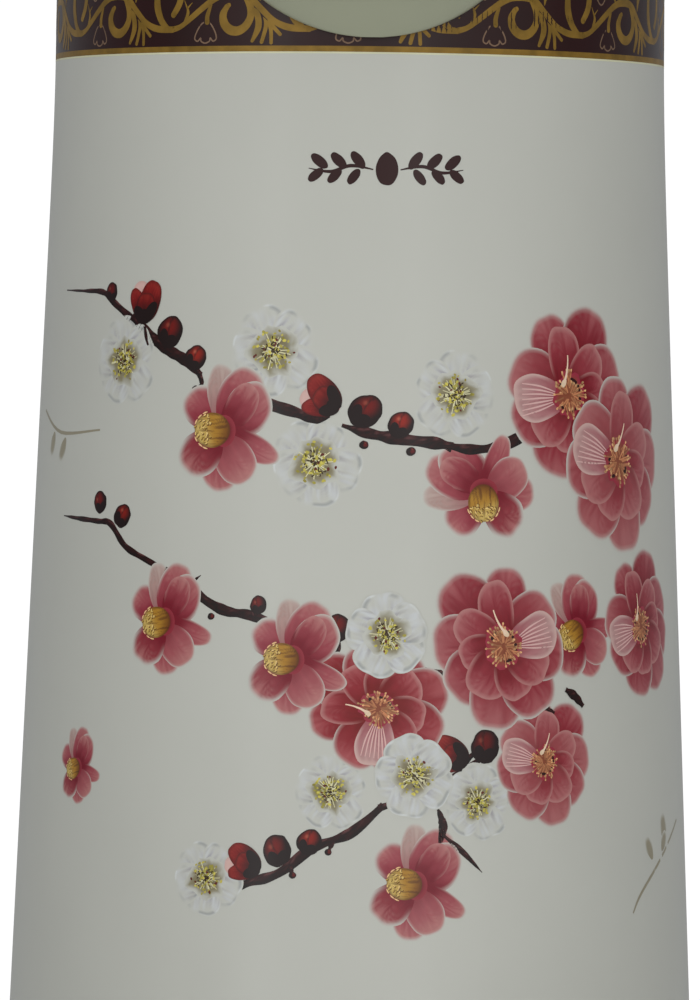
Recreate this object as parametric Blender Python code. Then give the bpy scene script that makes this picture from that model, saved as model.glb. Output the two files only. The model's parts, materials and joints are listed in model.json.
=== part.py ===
"""A three-litre pump pot: a vacuum jug with a press-to-pour lid, a spout, a handle and a turntable foot.

Run with: blender --background --python part.py
Metres, +Z up. The origin is on the pot's axis at table level. The spout points along -Y and the
lid's hinge is at +Y.
"""

import math

import bmesh
import bpy
from mathutils import Matrix, Vector

MM = 0.001
GAP = 0.3 * MM

# --- driving dimensions -------------------------------------------------------------------------
BODY_R = 77.5 * MM            # body radius at the decorated band
FLARE = 0.040                 # slope of the body below the shoulder, radius per height
FLARE_START = 272 * MM        # height where the flare begins
FLARE_SOFTNESS = 10 * MM      # how gently the straight part turns into the flare
SHELL_BOTTOM = 33.4 * MM
SHELL_TOP = 304 * MM
SHELL_WALL = 0.9 * MM

TURNTABLE_TOP = 6.2 * MM
BALL_R = 2.4 * MM
BALL_RACE_R = 58 * MM
BALL_COUNT = 6
BASE_SCREW_R = 72 * MM
BASE_SCREW_COUNT = 3

LINER_R = 69 * MM             # outside of the outer glass
LINER_BOTTOM = 30.5 * MM
LINER_TOP = 300 * MM
NECK_R = 31.6 * MM
GLASS = 1.6 * MM

COLLAR_R = 78.9 * MM

PIVOT_Z = 322 * MM            # handle pivots
HANDLE_TILT = 10              # degrees below level at rest, folded back
HANDLE_INNER = (82.5 * MM, 105 * MM)
HANDLE_OUTER = (89 * MM, 118 * MM)
HANDLE_HALF = 8 * MM

HINGE_Y = 82 * MM
HINGE_Z = 337 * MM

PLATE_R = 49.5 * MM
SKIRT_BOTTOM = 360 * MM
PLATE_EDGE = 380 * MM
PLATE_CROWN = 388 * MM
TONGUE_Z = (356.2 * MM, 359.2 * MM)
NOTCH_TOP = 379.6 * MM

PIPE_Z = 313 * MM
SPOUT_Y = -103 * MM
CHIN_R = 44 * MM              # radius of the hood's round lower edge
CHIN_Z = 328.5 * MM           # height of that radius's centre
HOOD_BACK = 79.3 * MM         # radius of the hood's edge against the body
HOOD_WALL = 1.8 * MM
TUBE_Y = -19 * MM

SEGMENTS = 36


# --- helpers ------------------------------------------------------------------------------------
def body_radius(z):
    """Outer radius of the painted shell at a height: straight above, gently flared below."""
    return BODY_R + FLARE * FLARE_SOFTNESS * math.log1p(math.exp((FLARE_START - z) / FLARE_SOFTNESS))


def material(name, colour, roughness, metallic=0.0, transmission=0.0):
    mat = bpy.data.materials.get(name) or bpy.data.materials.new(name)
    mat.use_nodes = True
    shader = mat.node_tree.nodes["Principled BSDF"]
    shader.inputs["Base Color"].default_value = (*colour, 1)
    shader.inputs["Roughness"].default_value = roughness
    shader.inputs["Metallic"].default_value = metallic
    shader.inputs["Transmission Weight"].default_value = transmission
    mat.diffuse_color = (*colour, 1)
    return mat


def add(name, bm, mat, smooth=True):
    """Turns a bmesh into a named object with outward faces."""
    bmesh.ops.remove_doubles(bm, verts=bm.verts, dist=1e-6)
    bmesh.ops.recalc_face_normals(bm, faces=bm.faces)
    mesh = bpy.data.meshes.new(name)
    bm.to_mesh(mesh)
    bm.free()
    obj = bpy.data.objects.new(name, mesh)
    bpy.context.collection.objects.link(obj)
    if mat:
        mesh.materials.append(mat)
    if smooth:
        mesh.shade_smooth()
        mesh.set_sharp_from_angle(angle=math.radians(35))
    return obj


def turned(profile, segments=SEGMENTS):
    """A closed (radius, height) outline turned about Z. Points at radius 0 close on the axis."""
    bm = bmesh.new()
    rings = []
    for r, z in profile:
        if r < 1e-7:
            rings.append([bm.verts.new((0, 0, z))])
            continue
        turn = [2 * math.pi * k / segments for k in range(segments)]
        rings.append([bm.verts.new((r * math.cos(a), r * math.sin(a), z)) for a in turn])
    for low, high in zip(rings, rings[1:] + rings[:1]):
        bridge(bm, low, high)
    return bm


def bridge(bm, low, high):
    """Faces between two closed rings of the same count, or between a ring and one point."""
    if len(low) == 1 and len(high) == 1:
        return
    count = max(len(low), len(high))
    for k in range(count):
        n = (k + 1) % count
        if len(low) == 1:
            bm.faces.new((low[0], high[n], high[k]))
        elif len(high) == 1:
            bm.faces.new((low[k], low[n], high[0]))
        else:
            bm.faces.new((low[k], low[n], high[n], high[k]))


def lathe(name, profile, mat, segments=SEGMENTS, at=(0, 0, 0)):
    obj = add(name, turned(profile, segments), mat)
    obj.location = at
    return obj


def rod(name, radius, start, end, mat, segments=24):
    """A solid round bar from one point to another."""
    start = Vector(start)
    axis = Vector(end) - start
    obj = add(name, turned([(0, axis.length), (radius, axis.length), (radius, 0), (0, 0)], segments), mat)
    obj.matrix_world = Matrix.Translation(start) @ axis.to_track_quat("Z", "Y").to_matrix().to_4x4()
    return obj


def block(name, low, high, mat):
    bm = bmesh.new()
    size = Vector(high) - Vector(low)
    middle = (Vector(high) + Vector(low)) / 2
    bmesh.ops.create_cube(bm, size=1, matrix=Matrix.Translation(middle) @ Matrix.Diagonal((*size, 1)))
    return add(name, bm, mat, smooth=False)


def boolean(obj, tool, operation="DIFFERENCE"):
    """Cuts obj with a hidden tool object, or joins the tool to it."""
    tool.hide_render = True
    tool.display_type = "WIRE"
    mod = obj.modifiers.new(operation.title(), "BOOLEAN")
    mod.operation = operation
    mod.solver = "EXACT"
    mod.object = tool
    return obj


def swept(points, rings_of, closed=False):
    """Joins one ring of vertices per point into a skin, with flat ends unless it closes on itself."""
    bm = bmesh.new()
    rings = [[bm.verts.new(v) for v in rings_of(k)] for k in range(len(points))]
    for low, high in zip(rings, rings[1:]):
        bridge(bm, low, high)
    if closed:
        bridge(bm, rings[-1], rings[0])
    else:
        bm.faces.new(rings[0])
        bm.faces.new(rings[-1])
    return bm


def path_frames(points):
    """A steady pair of side directions at each point of a path."""
    side = Vector((1, 0, 0))
    frames = []
    for k in range(len(points)):
        along = (points[min(k + 1, len(points) - 1)] - points[max(k - 1, 0)]).normalized()
        side = (side - along * side.dot(along)).normalized()
        frames.append((side, along.cross(side)))
    return frames


def ring_at(centre, frame, radius, segments):
    turn = [2 * math.pi * k / segments for k in range(segments)]
    return [centre + (frame[0] * math.cos(a) + frame[1] * math.sin(a)) * radius for a in turn]


def wire(name, points, radius, mat, segments=8):
    frames = path_frames(points)
    return add(name, swept(points, lambda k: ring_at(points[k], frames[k], radius, segments)), mat)


def pipe(name, points, outer, inner, mat, segments=20):
    """A hollow tube along a path, open at both ends."""
    frames = path_frames(points)
    route = list(range(len(points)))
    walk = [(k, outer) for k in route] + [(k, inner) for k in reversed(route)]
    bm = swept(walk, lambda n: ring_at(points[walk[n][0]], frames[walk[n][0]], walk[n][1], segments), True)
    return add(name, bm, mat)


def round_bend(corners, radius, steps=6):
    """A path through corners, with each inner corner rounded."""
    path = [Vector(corners[0])]
    for before, corner, after in zip(corners, corners[1:], corners[2:]):
        corner = Vector(corner)
        enter = corner + (Vector(before) - corner).normalized() * radius
        leave = corner + (Vector(after) - corner).normalized() * radius
        for n in range(steps + 1):
            t = n / steps
            path.append(enter * (1 - t) ** 2 + corner * 2 * t * (1 - t) + leave * t ** 2)
    path.append(Vector(corners[-1]))
    return path


def around(count, radius, z, start=90):
    """Points evenly round the axis, the first at start degrees from +X."""
    for n in range(count):
        a = math.radians(start + 360 * n / count)
        yield n + 1, (radius * math.cos(a), radius * math.sin(a), z)


def arc(centre, radius, start, end, steps):
    """Points (r, z) on an arc, angles in degrees from +r towards +z."""
    for n in range(steps + 1):
        a = math.radians(start + (end - start) * n / steps)
        yield centre[0] + radius * math.cos(a), centre[1] + radius * math.sin(a)


def mm(*pairs):
    """Outline points given in millimetres."""
    return [(r * MM, z * MM) for r, z in pairs]


# --- foot and turntable -------------------------------------------------------------------------
def make_turntable(ivory, rubber, steel, clear):
    lathe("foot_ring", mm((76, 2.0), (75.4, 0), (66.6, 0), (66, 2.0), (66, 2.7), (76, 2.7)), rubber, 32)
    plate = mm((9.2, 15.0), (9.2, 6.2), (54, 6.2), (54, 7.2), (55.5, 7.2), (55.5, 6.2), (60.5, 6.2),
               (60.5, 7.2), (62, 7.2), (62, 6.2), (79.5, 6.2), (80.5, 5.2), (80.5, 3.6), (79.8, 3.0),
               (0, 3.0), (0, 10), (2.2, 10), (2.2, 15.0))
    lathe("turntable", plate, ivory, 28)
    lathe("turntable_washer", mm((2.2, 15.3), (2.2, 16.5), (13.5, 16.5), (13.5, 15.3)), steel, 20)
    head = mm((0, 19.2), (3.4, 19.2), (4.0, 18.6), (4.0, 16.8), (1.8, 16.8), (1.8, 10.4), (0, 10.4))
    lathe("turntable_screw", head, steel, 12)
    cage = lathe("ball_cage", mm((63.5, 9.7), (63.5, 8.1), (52.5, 8.1), (52.5, 9.7)), clear, 24)
    middle = TURNTABLE_TOP + GAP + BALL_R
    for n, place in around(BALL_COUNT, BALL_RACE_R, middle, 94):
        pocket = lathe(f"ball_pocket_{n}", mm((0, 3), (2.8, 3), (2.8, -3), (0, -3)), None, 8, place)
        boolean(cage, pocket)
        ball = [(BALL_R * math.sin(math.pi * k / 6), BALL_R * math.cos(math.pi * k / 6)) for k in range(7)]
        lathe(f"bearing_ball_{n}", ball, steel, 10, place)


def make_base(ivory, steel, shell_grey):
    plate = mm((82, 14.6), (82, 11.6), (62.5, 11.6), (62.5, 12.4), (53.5, 12.4), (53.5, 11.6), (9.8, 11.6),
               (9.8, 14.6))
    floor = lathe("base_plate", plate, shell_grey, 28)
    ring = mm((84.0, 31.4), (86.6, 33.0), (87.6, 33.0), (88.2, 32.4), (88.8, 29), (88.9, 14), (88.2, 9.2),
              (86.8, 8), (84.0, 8), (84.0, 29), (66, 29), (66, 33.0), (83.4, 33.0))
    skirt = lathe("base_ring", ring, ivory)
    for n, (x, y, _) in around(BASE_SCREW_COUNT, BASE_SCREW_R, 0, 30):
        lug = mm((0, 30), (4.6, 30), (4.6, 15.0), (0, 15.0))
        pilot = mm((0, 25), (1.9, 25), (1.9, 10), (0, 10))
        hole = mm((0, 20), (2, 20), (2, 9), (0, 9))
        boolean(skirt, lathe(f"lug_{n}", lug, None, 12, (x, y, 0)), "UNION")
        boolean(skirt, lathe(f"lug_hole_{n}", pilot, None, 10, (x, y, 0)))
        boolean(floor, lathe(f"plate_hole_{n}", hole, None, 10, (x, y, 0)))
        screw = mm((0, 24), (1.5, 24), (1.5, 11.2), (3.3, 11.2), (3.3, 9.6), (2.6, 9.0), (0, 9.0))
        lathe(f"base_screw_{n}", screw, steel, 10, (x, y, 0))


# --- body and glass liner -----------------------------------------------------------------------
def make_body(paint, ivory, rubber):
    steps = 8
    heights = [SHELL_TOP + (SHELL_BOTTOM - SHELL_TOP) * (n / steps) for n in range(steps + 1)]
    outside = [(body_radius(z), z) for z in heights]
    inside = [(r - SHELL_WALL, z) for r, z in reversed(outside)]
    lathe("outer_shell", outside + inside, paint)
    seat = mm((76, 36), (76, 33.4), (64, 33.4), (59, 21), (0, 21), (0, 23.6), (57.2, 23.6), (62.2, 36))
    lathe("liner_seat", seat, ivory, 24)
    lathe("liner_pad", mm((44, 29.2), (46, 27), (46, 23.9), (24, 23.9), (24, 28.2), (26, 29.2)), rubber, 24)


def liner_outline(inset):
    """Half outline of one glass wall: neck, shoulder, straight side, round bottom, down to the axis."""
    r = LINER_R - inset
    neck = NECK_R - inset
    low = LINER_BOTTOM + inset
    shoulder = LINER_TOP - 12 * MM
    corner = 24 * MM - inset
    turn = 17 * MM
    outline = [(neck, LINER_TOP), (neck, shoulder)]
    outline += [(r - turn + turn * math.cos(a), shoulder - 34 * MM + (22 * MM - inset) * math.sin(a))
                for a in (math.radians(d) for d in (60, 30, 0))]
    outline += list(arc((r - corner, low + corner), corner, 0, -90, 3))
    return outline + [(0, low)]


def make_liner(silver_glass, rubber):
    for name, inset, lip in (("liner_outer", 0, 0), ("liner_inner", 2.0 * MM + GLASS, 1.6 * MM)):
        outside = liner_outline(inset)
        outside[0] = (outside[0][0], outside[0][1] + lip)
        inside = liner_outline(inset + GLASS)
        inside[0] = (inside[0][0], outside[0][1])
        lathe(name, outside + inside[::-1], silver_glass, 20)
    gasket = mm((35, 303.7), (35, 302.2), (32.3, 302.0), (27.0, 302.0), (27.0, 303.7))
    lathe("mouth_gasket", gasket, rubber, 28)


# --- collar, spout and water path ---------------------------------------------------------------
def hinge_rod(name, radius, half, mat=None, segments=20):
    """A rod on the lid hinge's axis."""
    return rod(name, radius, (-half, HINGE_Y, HINGE_Z), (half, HINGE_Y, HINGE_Z), mat, segments)


def make_collar(ivory, steel):
    outline = mm((78.3, 333.5), (78.9, 332.9), (78.9, 304.4), (76.1, 304.4), (76.1, 300), (74, 300),
                 (74, 322), (34, 322), (34, 304.1), (31, 304.1), (31, 325), (75, 325), (75, 333.5))
    collar = lathe("collar", outline, ivory)
    for side, sign in (("right", 1), ("left", -1)):
        boss_root = (sign * 75.3 * MM, 0, PIVOT_Z)
        boss_end = (sign * 81.9 * MM, 0, PIVOT_Z)
        boolean(collar, rod(f"boss_{side}", 9.7 * MM, boss_root, boss_end, None, 24), "UNION")
        bore_root = (sign * 76.1 * MM, 0, PIVOT_Z)
        bore_end = (sign * 95 * MM, 0, PIVOT_Z)
        boolean(collar, rod(f"boss_bore_{side}", 3.4 * MM, bore_root, bore_end, None, 20))
        pin = mm((0, 89.2), (3.0, 89.2), (3.0, 76.4), (0, 76.4))
        axle = lathe(f"handle_pivot_{side}", pin, steel, 16, (0, 0, PIVOT_Z))
        axle.rotation_euler = (0, math.radians(90 * sign), 0)
        ear_inside = (sign * 13 * MM, 74.6 * MM, 322.4 * MM)
        ear_outside = (sign * 20 * MM, 87 * MM, 336 * MM)
        ear = block(f"ear_{side}", ear_inside, ear_outside, None)
        boolean(collar, ear, "UNION")
        knob = rod(f"ear_top_{side}", 5.6 * MM, (sign * 13.001 * MM, HINGE_Y, HINGE_Z),
                   (sign * 19.999 * MM, HINGE_Y, HINGE_Z), None, 24)
        boolean(collar, knob, "UNION")
    boolean(collar, hinge_rod("ear_bore", 2.4 * MM, 30 * MM))
    boolean(collar, hinge_rod("knuckle_room", 6.9 * MM, 12.8 * MM, None, 24))
    passage_end = (0, -86 * MM, PIPE_Z + 3.4 * MM)
    boolean(collar, rod("pipe_passage", 5.8 * MM, (0, -25 * MM, PIPE_Z), passage_end, None, 20))
    catch = block("latch_catch", (-8 * MM, -77 * MM, 327 * MM), (8 * MM, -71 * MM, 330 * MM), None)
    boolean(collar, catch, "UNION")
    hinge_rod("hinge_pin", 2.05 * MM, 21.5 * MM, steel)


def hood_profile(t):
    """Forward reach and height of the hood's middle line, from its chin (t = 0) to its back edge (t = 1)."""
    points = mm((79.6, 284.5), (82.0, 288.5), (84.6, 294), (88, 301), (95, 306.5), (105, 309.8), (112, 311),
                (116.4, 314.4), (117.6, 319.5), (115.4, 325.5), (108, 330), (96, 332.4), (81, 333.2))
    place = min(max(t, 0), 1) * (len(points) - 1)
    k = min(int(place), len(points) - 2)
    f = place - k
    before = points[max(k - 1, 0)]
    after = points[min(k + 2, len(points) - 1)]
    return [b + 0.5 * f * (c - a + f * (2 * a - 5 * b + 4 * c - d + f * (3 * (b - c) + d - a)))
            for a, b, c, d in zip(before, points[k], points[k + 1], after)]


def hood_section(t, inset, across=12):
    """A level ring round the hood: forward bulge, then back along the body. Inset gives its cavity."""
    reach, z = hood_profile(t)
    ahead = hood_profile(t + 0.01)
    behind = hood_profile(t - 0.01)
    run = Vector((ahead[0] - behind[0], ahead[1] - behind[1])).normalized()
    half = math.sqrt(max(CHIN_R ** 2 - min(0, z - CHIN_Z) ** 2, 0)) - inset
    reach -= run.y * inset
    z += run.x * inset
    back = HOOD_BACK - (5 * MM if inset else 0)
    turns = [math.pi * (k / across - 0.5) for k in range(across + 1)]
    front = []
    for turn in turns:
        x = half * math.sin(turn)
        bulge = max(reach - HOOD_BACK, 0) * abs(math.cos(turn)) ** 0.9
        front.append(Vector((x, -math.sqrt(HOOD_BACK ** 2 - x * x) - bulge, z)))
    rear = []
    for turn in reversed(turns if inset else turns[1:-1]):
        x = half * math.sin(turn)
        rear.append(Vector((x, -math.sqrt(back ** 2 - x * x), z)))
    return front + rear


def hood_solid(name, first, last, inset, mat, stations=15):
    steps = [first + (last - first) * k / stations for k in range(stations + 1)]
    return add(name, swept(steps, lambda k: hood_section(steps[k], inset)), mat)


def make_spout(ivory, clear):
    hood = hood_solid("spout_hood", 0.04, 1, 0, ivory)
    boolean(hood, hood_solid("hood_hollow", 0.12, 0.96, HOOD_WALL, None))
    outlet = rod("outlet_hole", 6.6 * MM, (0, SPOUT_Y, 300 * MM), (0, SPOUT_Y, 318 * MM), None, 20)
    boolean(hood, outlet)
    nozzle = mm((6.1, 303.6), (4.7, 303.2), (4.7, 315.6), (7.6, 315.6), (7.6, 314.0), (6.1, 313.4))
    lathe("spout_nozzle", nozzle, ivory, 20, (0, SPOUT_Y, 0))
    corners = [(0, -27.2 * MM, PIPE_Z), (0, -62 * MM, PIPE_Z), (0, -86 * MM, 318 * MM),
               (0, SPOUT_Y, 322 * MM), (0, SPOUT_Y, 308 * MM)]
    pipe("spout_pipe", round_bend(corners, 6 * MM, 3), 4.3 * MM, 3.1 * MM, clear, 10)


def make_dip_tube(clear, steel, ivory):
    pipe("dip_tube", [Vector((0, TUBE_Y, z * MM)) for z in (44, 304)], 4.5 * MM, 3.3 * MM, clear, 14)
    foot = mm((6.0, 52), (6.2, 51), (6.2, 40), (5.2, 38), (3.4, 38), (3.4, 43.6), (4.9, 43.6), (4.9, 52))
    lathe("dip_tube_foot", foot, ivory, 14, (0, TUBE_Y, 0))
    housing = mm((7.6, 319), (8.0, 318.6), (8.0, 305), (7.4, 304.4), (2.2, 304.4), (2.2, 306.4),
                 (6.4, 307.6), (6.4, 317.2), (0, 317.2), (0, 319))
    head = lathe("valve_housing", housing, ivory, 16, (0, TUBE_Y, 0))
    outlet_start = (0, TUBE_Y - 4 * MM, PIPE_Z)
    outlet_end = (0, TUBE_Y - 12 * MM, PIPE_Z)
    boolean(head, rod("housing_outlet", 2.6 * MM, outlet_start, outlet_end, None, 16))
    ball = [(3.9 * MM * math.sin(math.pi * k / 8), 3.9 * MM * math.cos(math.pi * k / 8)) for k in range(9)]
    lathe("tip_ball", ball, steel, 12, (0, TUBE_Y, 311.3 * MM))


# --- lid ----------------------------------------------------------------------------------------
def make_lid(ivory, rubber, steel):
    outside = mm((52, 376.4), (53, 377.5), (58, 377.2), (65, 374.6), (71.2, 369.6), (75.4, 362.4),
                 (77.6, 352), (78.5, 340), (78.5, 334.6), (77.9, 334))
    inside = mm((75.6, 334), (75.6, 340), (74.8, 351.4), (72.8, 360.8), (69.2, 367.4), (63.8, 371.8),
                (57.6, 374.2), (54.2, 374.4), (54.2, 365), (52, 365))
    shell = lathe("lid_shell", outside + inside, ivory)
    floor = mm((75.2, 338), (75.2, 335.2), (40, 335.2), (39, 328.3), (24, 328.3), (24, 335.2), (8, 335.2),
               (8, 338))
    base = lathe("lid_base", floor, ivory)
    rear_gap = block("hinge_gap", (-22.5 * MM, 66 * MM, 330 * MM), (22.5 * MM, 92 * MM, 345 * MM), None)
    for part in (shell, base):
        boolean(part, rear_gap)
    web = block("hinge_web", (-12.2 * MM, 60 * MM, 335.4 * MM), (12.2 * MM, 81 * MM, 341 * MM), None)
    boolean(base, web, "UNION")
    boolean(base, hinge_rod("knuckle", 6.2 * MM, 12.4 * MM, None, 24), "UNION")
    boolean(base, hinge_rod("knuckle_bore", 2.4 * MM, 30 * MM))
    window = block("latch_window", (-13 * MM, -92 * MM, 341 * MM), (13 * MM, -70 * MM, 353 * MM), None)
    boolean(shell, window)
    slot = block("latch_slot", (-9 * MM, -74 * MM, 330 * MM), (9 * MM, -60 * MM, 340 * MM), None)
    boolean(base, slot)
    post = block("spring_post", (-4 * MM, -54.2 * MM, 337 * MM), (4 * MM, -52.4 * MM, 352.4 * MM), None)
    boolean(base, post, "UNION")
    groove = block("lock_slot", (-15.5 * MM, -60.4 * MM, 368 * MM), (3.5 * MM, -55.4 * MM, 380 * MM), None)
    boolean(shell, groove)
    lathe("lid_gasket", mm((38.4, 328.0), (38.4, 325.5), (25.4, 325.5), (25.4, 328.0)), rubber, 28)
    for n, (x, y, _) in around(2, 66 * MM, 0, 3):
        hole = mm((0, 345), (2, 345), (2, 330), (0, 330))
        boolean(base, lathe(f"lid_hole_{n}", hole, None, 10, (x, y, 0)))
        column = mm((0, 370), (4.2, 370), (4.2, 338.4), (0, 338.4))
        boolean(shell, lathe(f"lid_column_{n}", column, None, 12, (x, y, 0)), "UNION")
        pilot = mm((0, 352), (1.9, 352), (1.9, 330), (0, 330))
        boolean(shell, lathe(f"lid_pilot_{n}", pilot, None, 10, (x, y, 0)))
        screw = mm((0, 351), (1.5, 351), (1.5, 334.9), (3.1, 334.9), (3.1, 334.1), (2.4, 333.6), (0, 333.6))
        lathe(f"lid_screw_{n}", screw, steel, 10, (x, y, 0))


def make_latch(ivory, steel):
    """Front button: pushed in, it draws its hook away from the collar's catch."""
    face_low = (-12.2 * MM, -80.4 * MM, 341.6 * MM)
    face_high = (12.2 * MM, -72.6 * MM, 352.4 * MM)
    face = block("lid_latch", face_low, face_high, ivory)
    soften = face.modifiers.new("Soften", "BEVEL")
    soften.width = 1.2 * MM
    soften.segments = 3
    stem = block("latch_stem", (-6 * MM, -74 * MM, 341.7 * MM), (6 * MM, -66.6 * MM, 344.6 * MM), None)
    leg = block("latch_leg", (-6 * MM, -69.4 * MM, 326.0 * MM), (6 * MM, -66.6 * MM, 344.6 * MM), None)
    hook = block("latch_hook", (-5.9 * MM, -70.2 * MM, 325.7 * MM), (5.9 * MM, -66.7 * MM, 328.4 * MM), None)
    for part in (stem, leg, hook):
        boolean(face, part, "UNION")
    turns = 4
    steps = 8
    coil = []
    for k in range(turns * steps + 1):
        a = 2 * math.pi * k / steps
        coil.append(Vector((3 * MM * math.cos(a), (-71.9 + 16.9 * k / (turns * steps)) * MM,
                            (348.5 * MM + 3 * MM * math.sin(a)))))
    wire("latch_spring", coil, 0.4 * MM, steel, 5)


def make_plate(ivory, trim, steel):
    crown = []
    for a in (math.radians(d) for d in (0, 14, 30, 46, 62, 76, 86)):
        crown.append((PLATE_R * math.sin(a), PLATE_EDGE + (PLATE_CROWN - PLATE_EDGE) * math.cos(a)))
    inside = mm((47.1, 360), (47.1, 377.4), (40, 380.6), (0, 380.6))
    plate = lathe("push_plate", crown + [(PLATE_R, PLATE_EDGE), (PLATE_R, SKIRT_BOTTOM)] + inside, ivory)
    dish = mm((0, 400), (27.3, 400), (27.3, 385.4), (0, 385.4))
    boolean(plate, lathe("insert_seat", dish, None, 32))
    notch = block("lock_notch", (-8.5 * MM, -52 * MM, 350 * MM), (8.5 * MM, -44 * MM, NOTCH_TOP), None)
    boolean(plate, notch)
    lathe("plate_insert", mm((0, 387.6), (12, 387.4), (22, 386.8), (26.4, 386.2), (27.0, 385.7), (0, 385.7)),
          trim, 32)


def make_lock(trim):
    """Sliding lock: to one side, its tongue sits under the plate's skirt."""
    knob_low = (-4.4 * MM, -61.4 * MM, 377.8 * MM)
    knob_high = (4.4 * MM, -54.6 * MM, 380.6 * MM)
    slider = block("lock_slider", knob_low, knob_high, trim)
    stem = block("lock_stem", (-3.0 * MM, -59.9 * MM, 357.2 * MM), (3.0 * MM, -55.9 * MM, 378.4 * MM), None)
    tongue_low = (-2.9 * MM, -59.8 * MM, TONGUE_Z[0])
    tongue_high = (2.9 * MM, -47.3 * MM, TONGUE_Z[1])
    tongue = block("lock_tongue", tongue_low, tongue_high, None)
    for part in (stem, tongue):
        boolean(slider, part, "UNION")
    soften = slider.modifiers.new("Soften", "BEVEL")
    soften.width = 0.4 * MM
    soften.segments = 2


def make_pump(rubber, steel, soft):
    """Air bellows, its spring, and the flap that lets air in when the plate comes back up."""
    folds = 5
    low = 339.0
    high = 379.6
    pitch = (high - low - 4) / folds
    outside = []
    for k in range(folds):
        top = high - 2 - k * pitch
        outside += [(31, top), (38, top - pitch / 2)]
    outside = [(31, high)] + outside + [(31, low + 2), (31, low)]
    inside = [(max(r - 1.4, 0), z) for r, z in reversed(outside)]
    lathe("bellows", mm(*(outside + inside)), soft, 18)
    turns = 5
    steps = 9
    coil = []
    for k in range(turns * steps + 1):
        share = k / (turns * steps)
        a = 2 * math.pi * k / steps
        r = (24 - 6 * share) * MM
        coil.append(Vector((r * math.cos(a), r * math.sin(a), (339.6 + 39.6 * share) * MM)))
    wire("return_spring", coil, 1.1 * MM, steel, 5)
    valve = mm((0, 341), (2, 341), (2, 338.9), (11.5, 338.9), (11.5, 338.3), (0, 338.3))
    lathe("air_valve", valve, rubber, 16)


# --- handle -------------------------------------------------------------------------------------
def bow(size, turn):
    """A point of a squarish half-ellipse in the handle's own plane."""
    power = 2 / 2.6
    c = math.cos(turn)
    s = math.sin(turn)
    return Vector((math.copysign(abs(c) ** power, c) * size[0], abs(s) ** power * size[1], 0))


def make_handle(ivory, trim):
    pivot = bpy.data.objects.new("handle_pivot_line", None)
    pivot.location = (0, 0, PIVOT_Z)
    pivot.rotation_euler = (math.radians(-HANDLE_TILT), 0, 0)
    bpy.context.collection.objects.link(pivot)
    steps = 22
    turns = [math.pi * k / steps for k in range(steps + 1)]

    def section(k):
        inner = bow(HANDLE_INNER, turns[k])
        outer = bow(HANDLE_OUTER, turns[k])
        shape = ((0, 0.55), (0.28, 1), (0.72, 1), (1, 0.55), (1, -0.55), (0.72, -1), (0.28, -1), (0, -0.55))
        return [inner.lerp(outer, share) + Vector((0, 0, height * HANDLE_HALF)) for share, height in shape]

    handle = add("handle", swept(turns, section), ivory)
    handle.parent = pivot
    for side, sign in (("right", 1), ("left", -1)):
        boss = rod(f"arm_end_{side}", 9.6 * MM, (sign * 82.3 * MM, 0, 0), (sign * 89.2 * MM, 0, 0), None, 28)
        boss.parent = pivot
        boolean(handle, boss, "UNION")
        bore = rod(f"arm_bore_{side}", 3.4 * MM, (sign * 70 * MM, 0, 0), (sign * 100 * MM, 0, 0), None, 20)
        bore.parent = pivot
        boolean(handle, bore)
        cap = lathe(f"handle_cap_{side}", mm((0, 91.6), (6.4, 91.4), (8.2, 90.6), (8.6, 89.6), (8.6, 89.5),
                                             (0, 89.5)), trim, 24)
        cap.parent = pivot
        cap.rotation_euler = (0, math.radians(90 * sign), 0)


def main():
    for obj in list(bpy.data.objects):
        bpy.data.objects.remove(obj, do_unlink=True)
    ivory = material("ivory_plastic", (0.72, 0.72, 0.60), 0.32)
    trim = material("gold_trim", (0.55, 0.42, 0.20), 0.30, 0.7)
    paint = material("pearl_paint", (0.74, 0.74, 0.68), 0.22, 0.1)
    grey = material("grey_plastic", (0.35, 0.35, 0.34), 0.55)
    rubber = material("dark_rubber", (0.05, 0.05, 0.05), 0.75)
    silicone = material("white_silicone", (0.80, 0.80, 0.76), 0.55)
    steel = material("steel", (0.62, 0.62, 0.63), 0.28, 1.0)
    clear = material("clear_plastic", (0.86, 0.88, 0.86), 0.25, 0.0, 0.4)
    glass = material("silvered_glass", (0.82, 0.84, 0.86), 0.08, 0.9)
    make_turntable(ivory, rubber, steel, clear)
    make_base(ivory, steel, grey)
    make_body(paint, ivory, rubber)
    make_liner(glass, silicone)
    make_collar(ivory, steel)
    make_spout(ivory, clear)
    make_dip_tube(clear, steel, ivory)
    make_lid(ivory, silicone, steel)
    make_latch(ivory, steel)
    make_plate(ivory, trim, steel)
    make_lock(trim)
    make_pump(rubber, steel, silicone)
    make_handle(ivory, trim)


main()
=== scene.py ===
"""Looks for the pump pot: printed pearl body, fine plastic shells, glass and metal, studio light."""

import json
import math
import random

import bmesh
import bpy
from mathutils import Matrix, Vector
from mathutils.noise import noise


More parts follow.
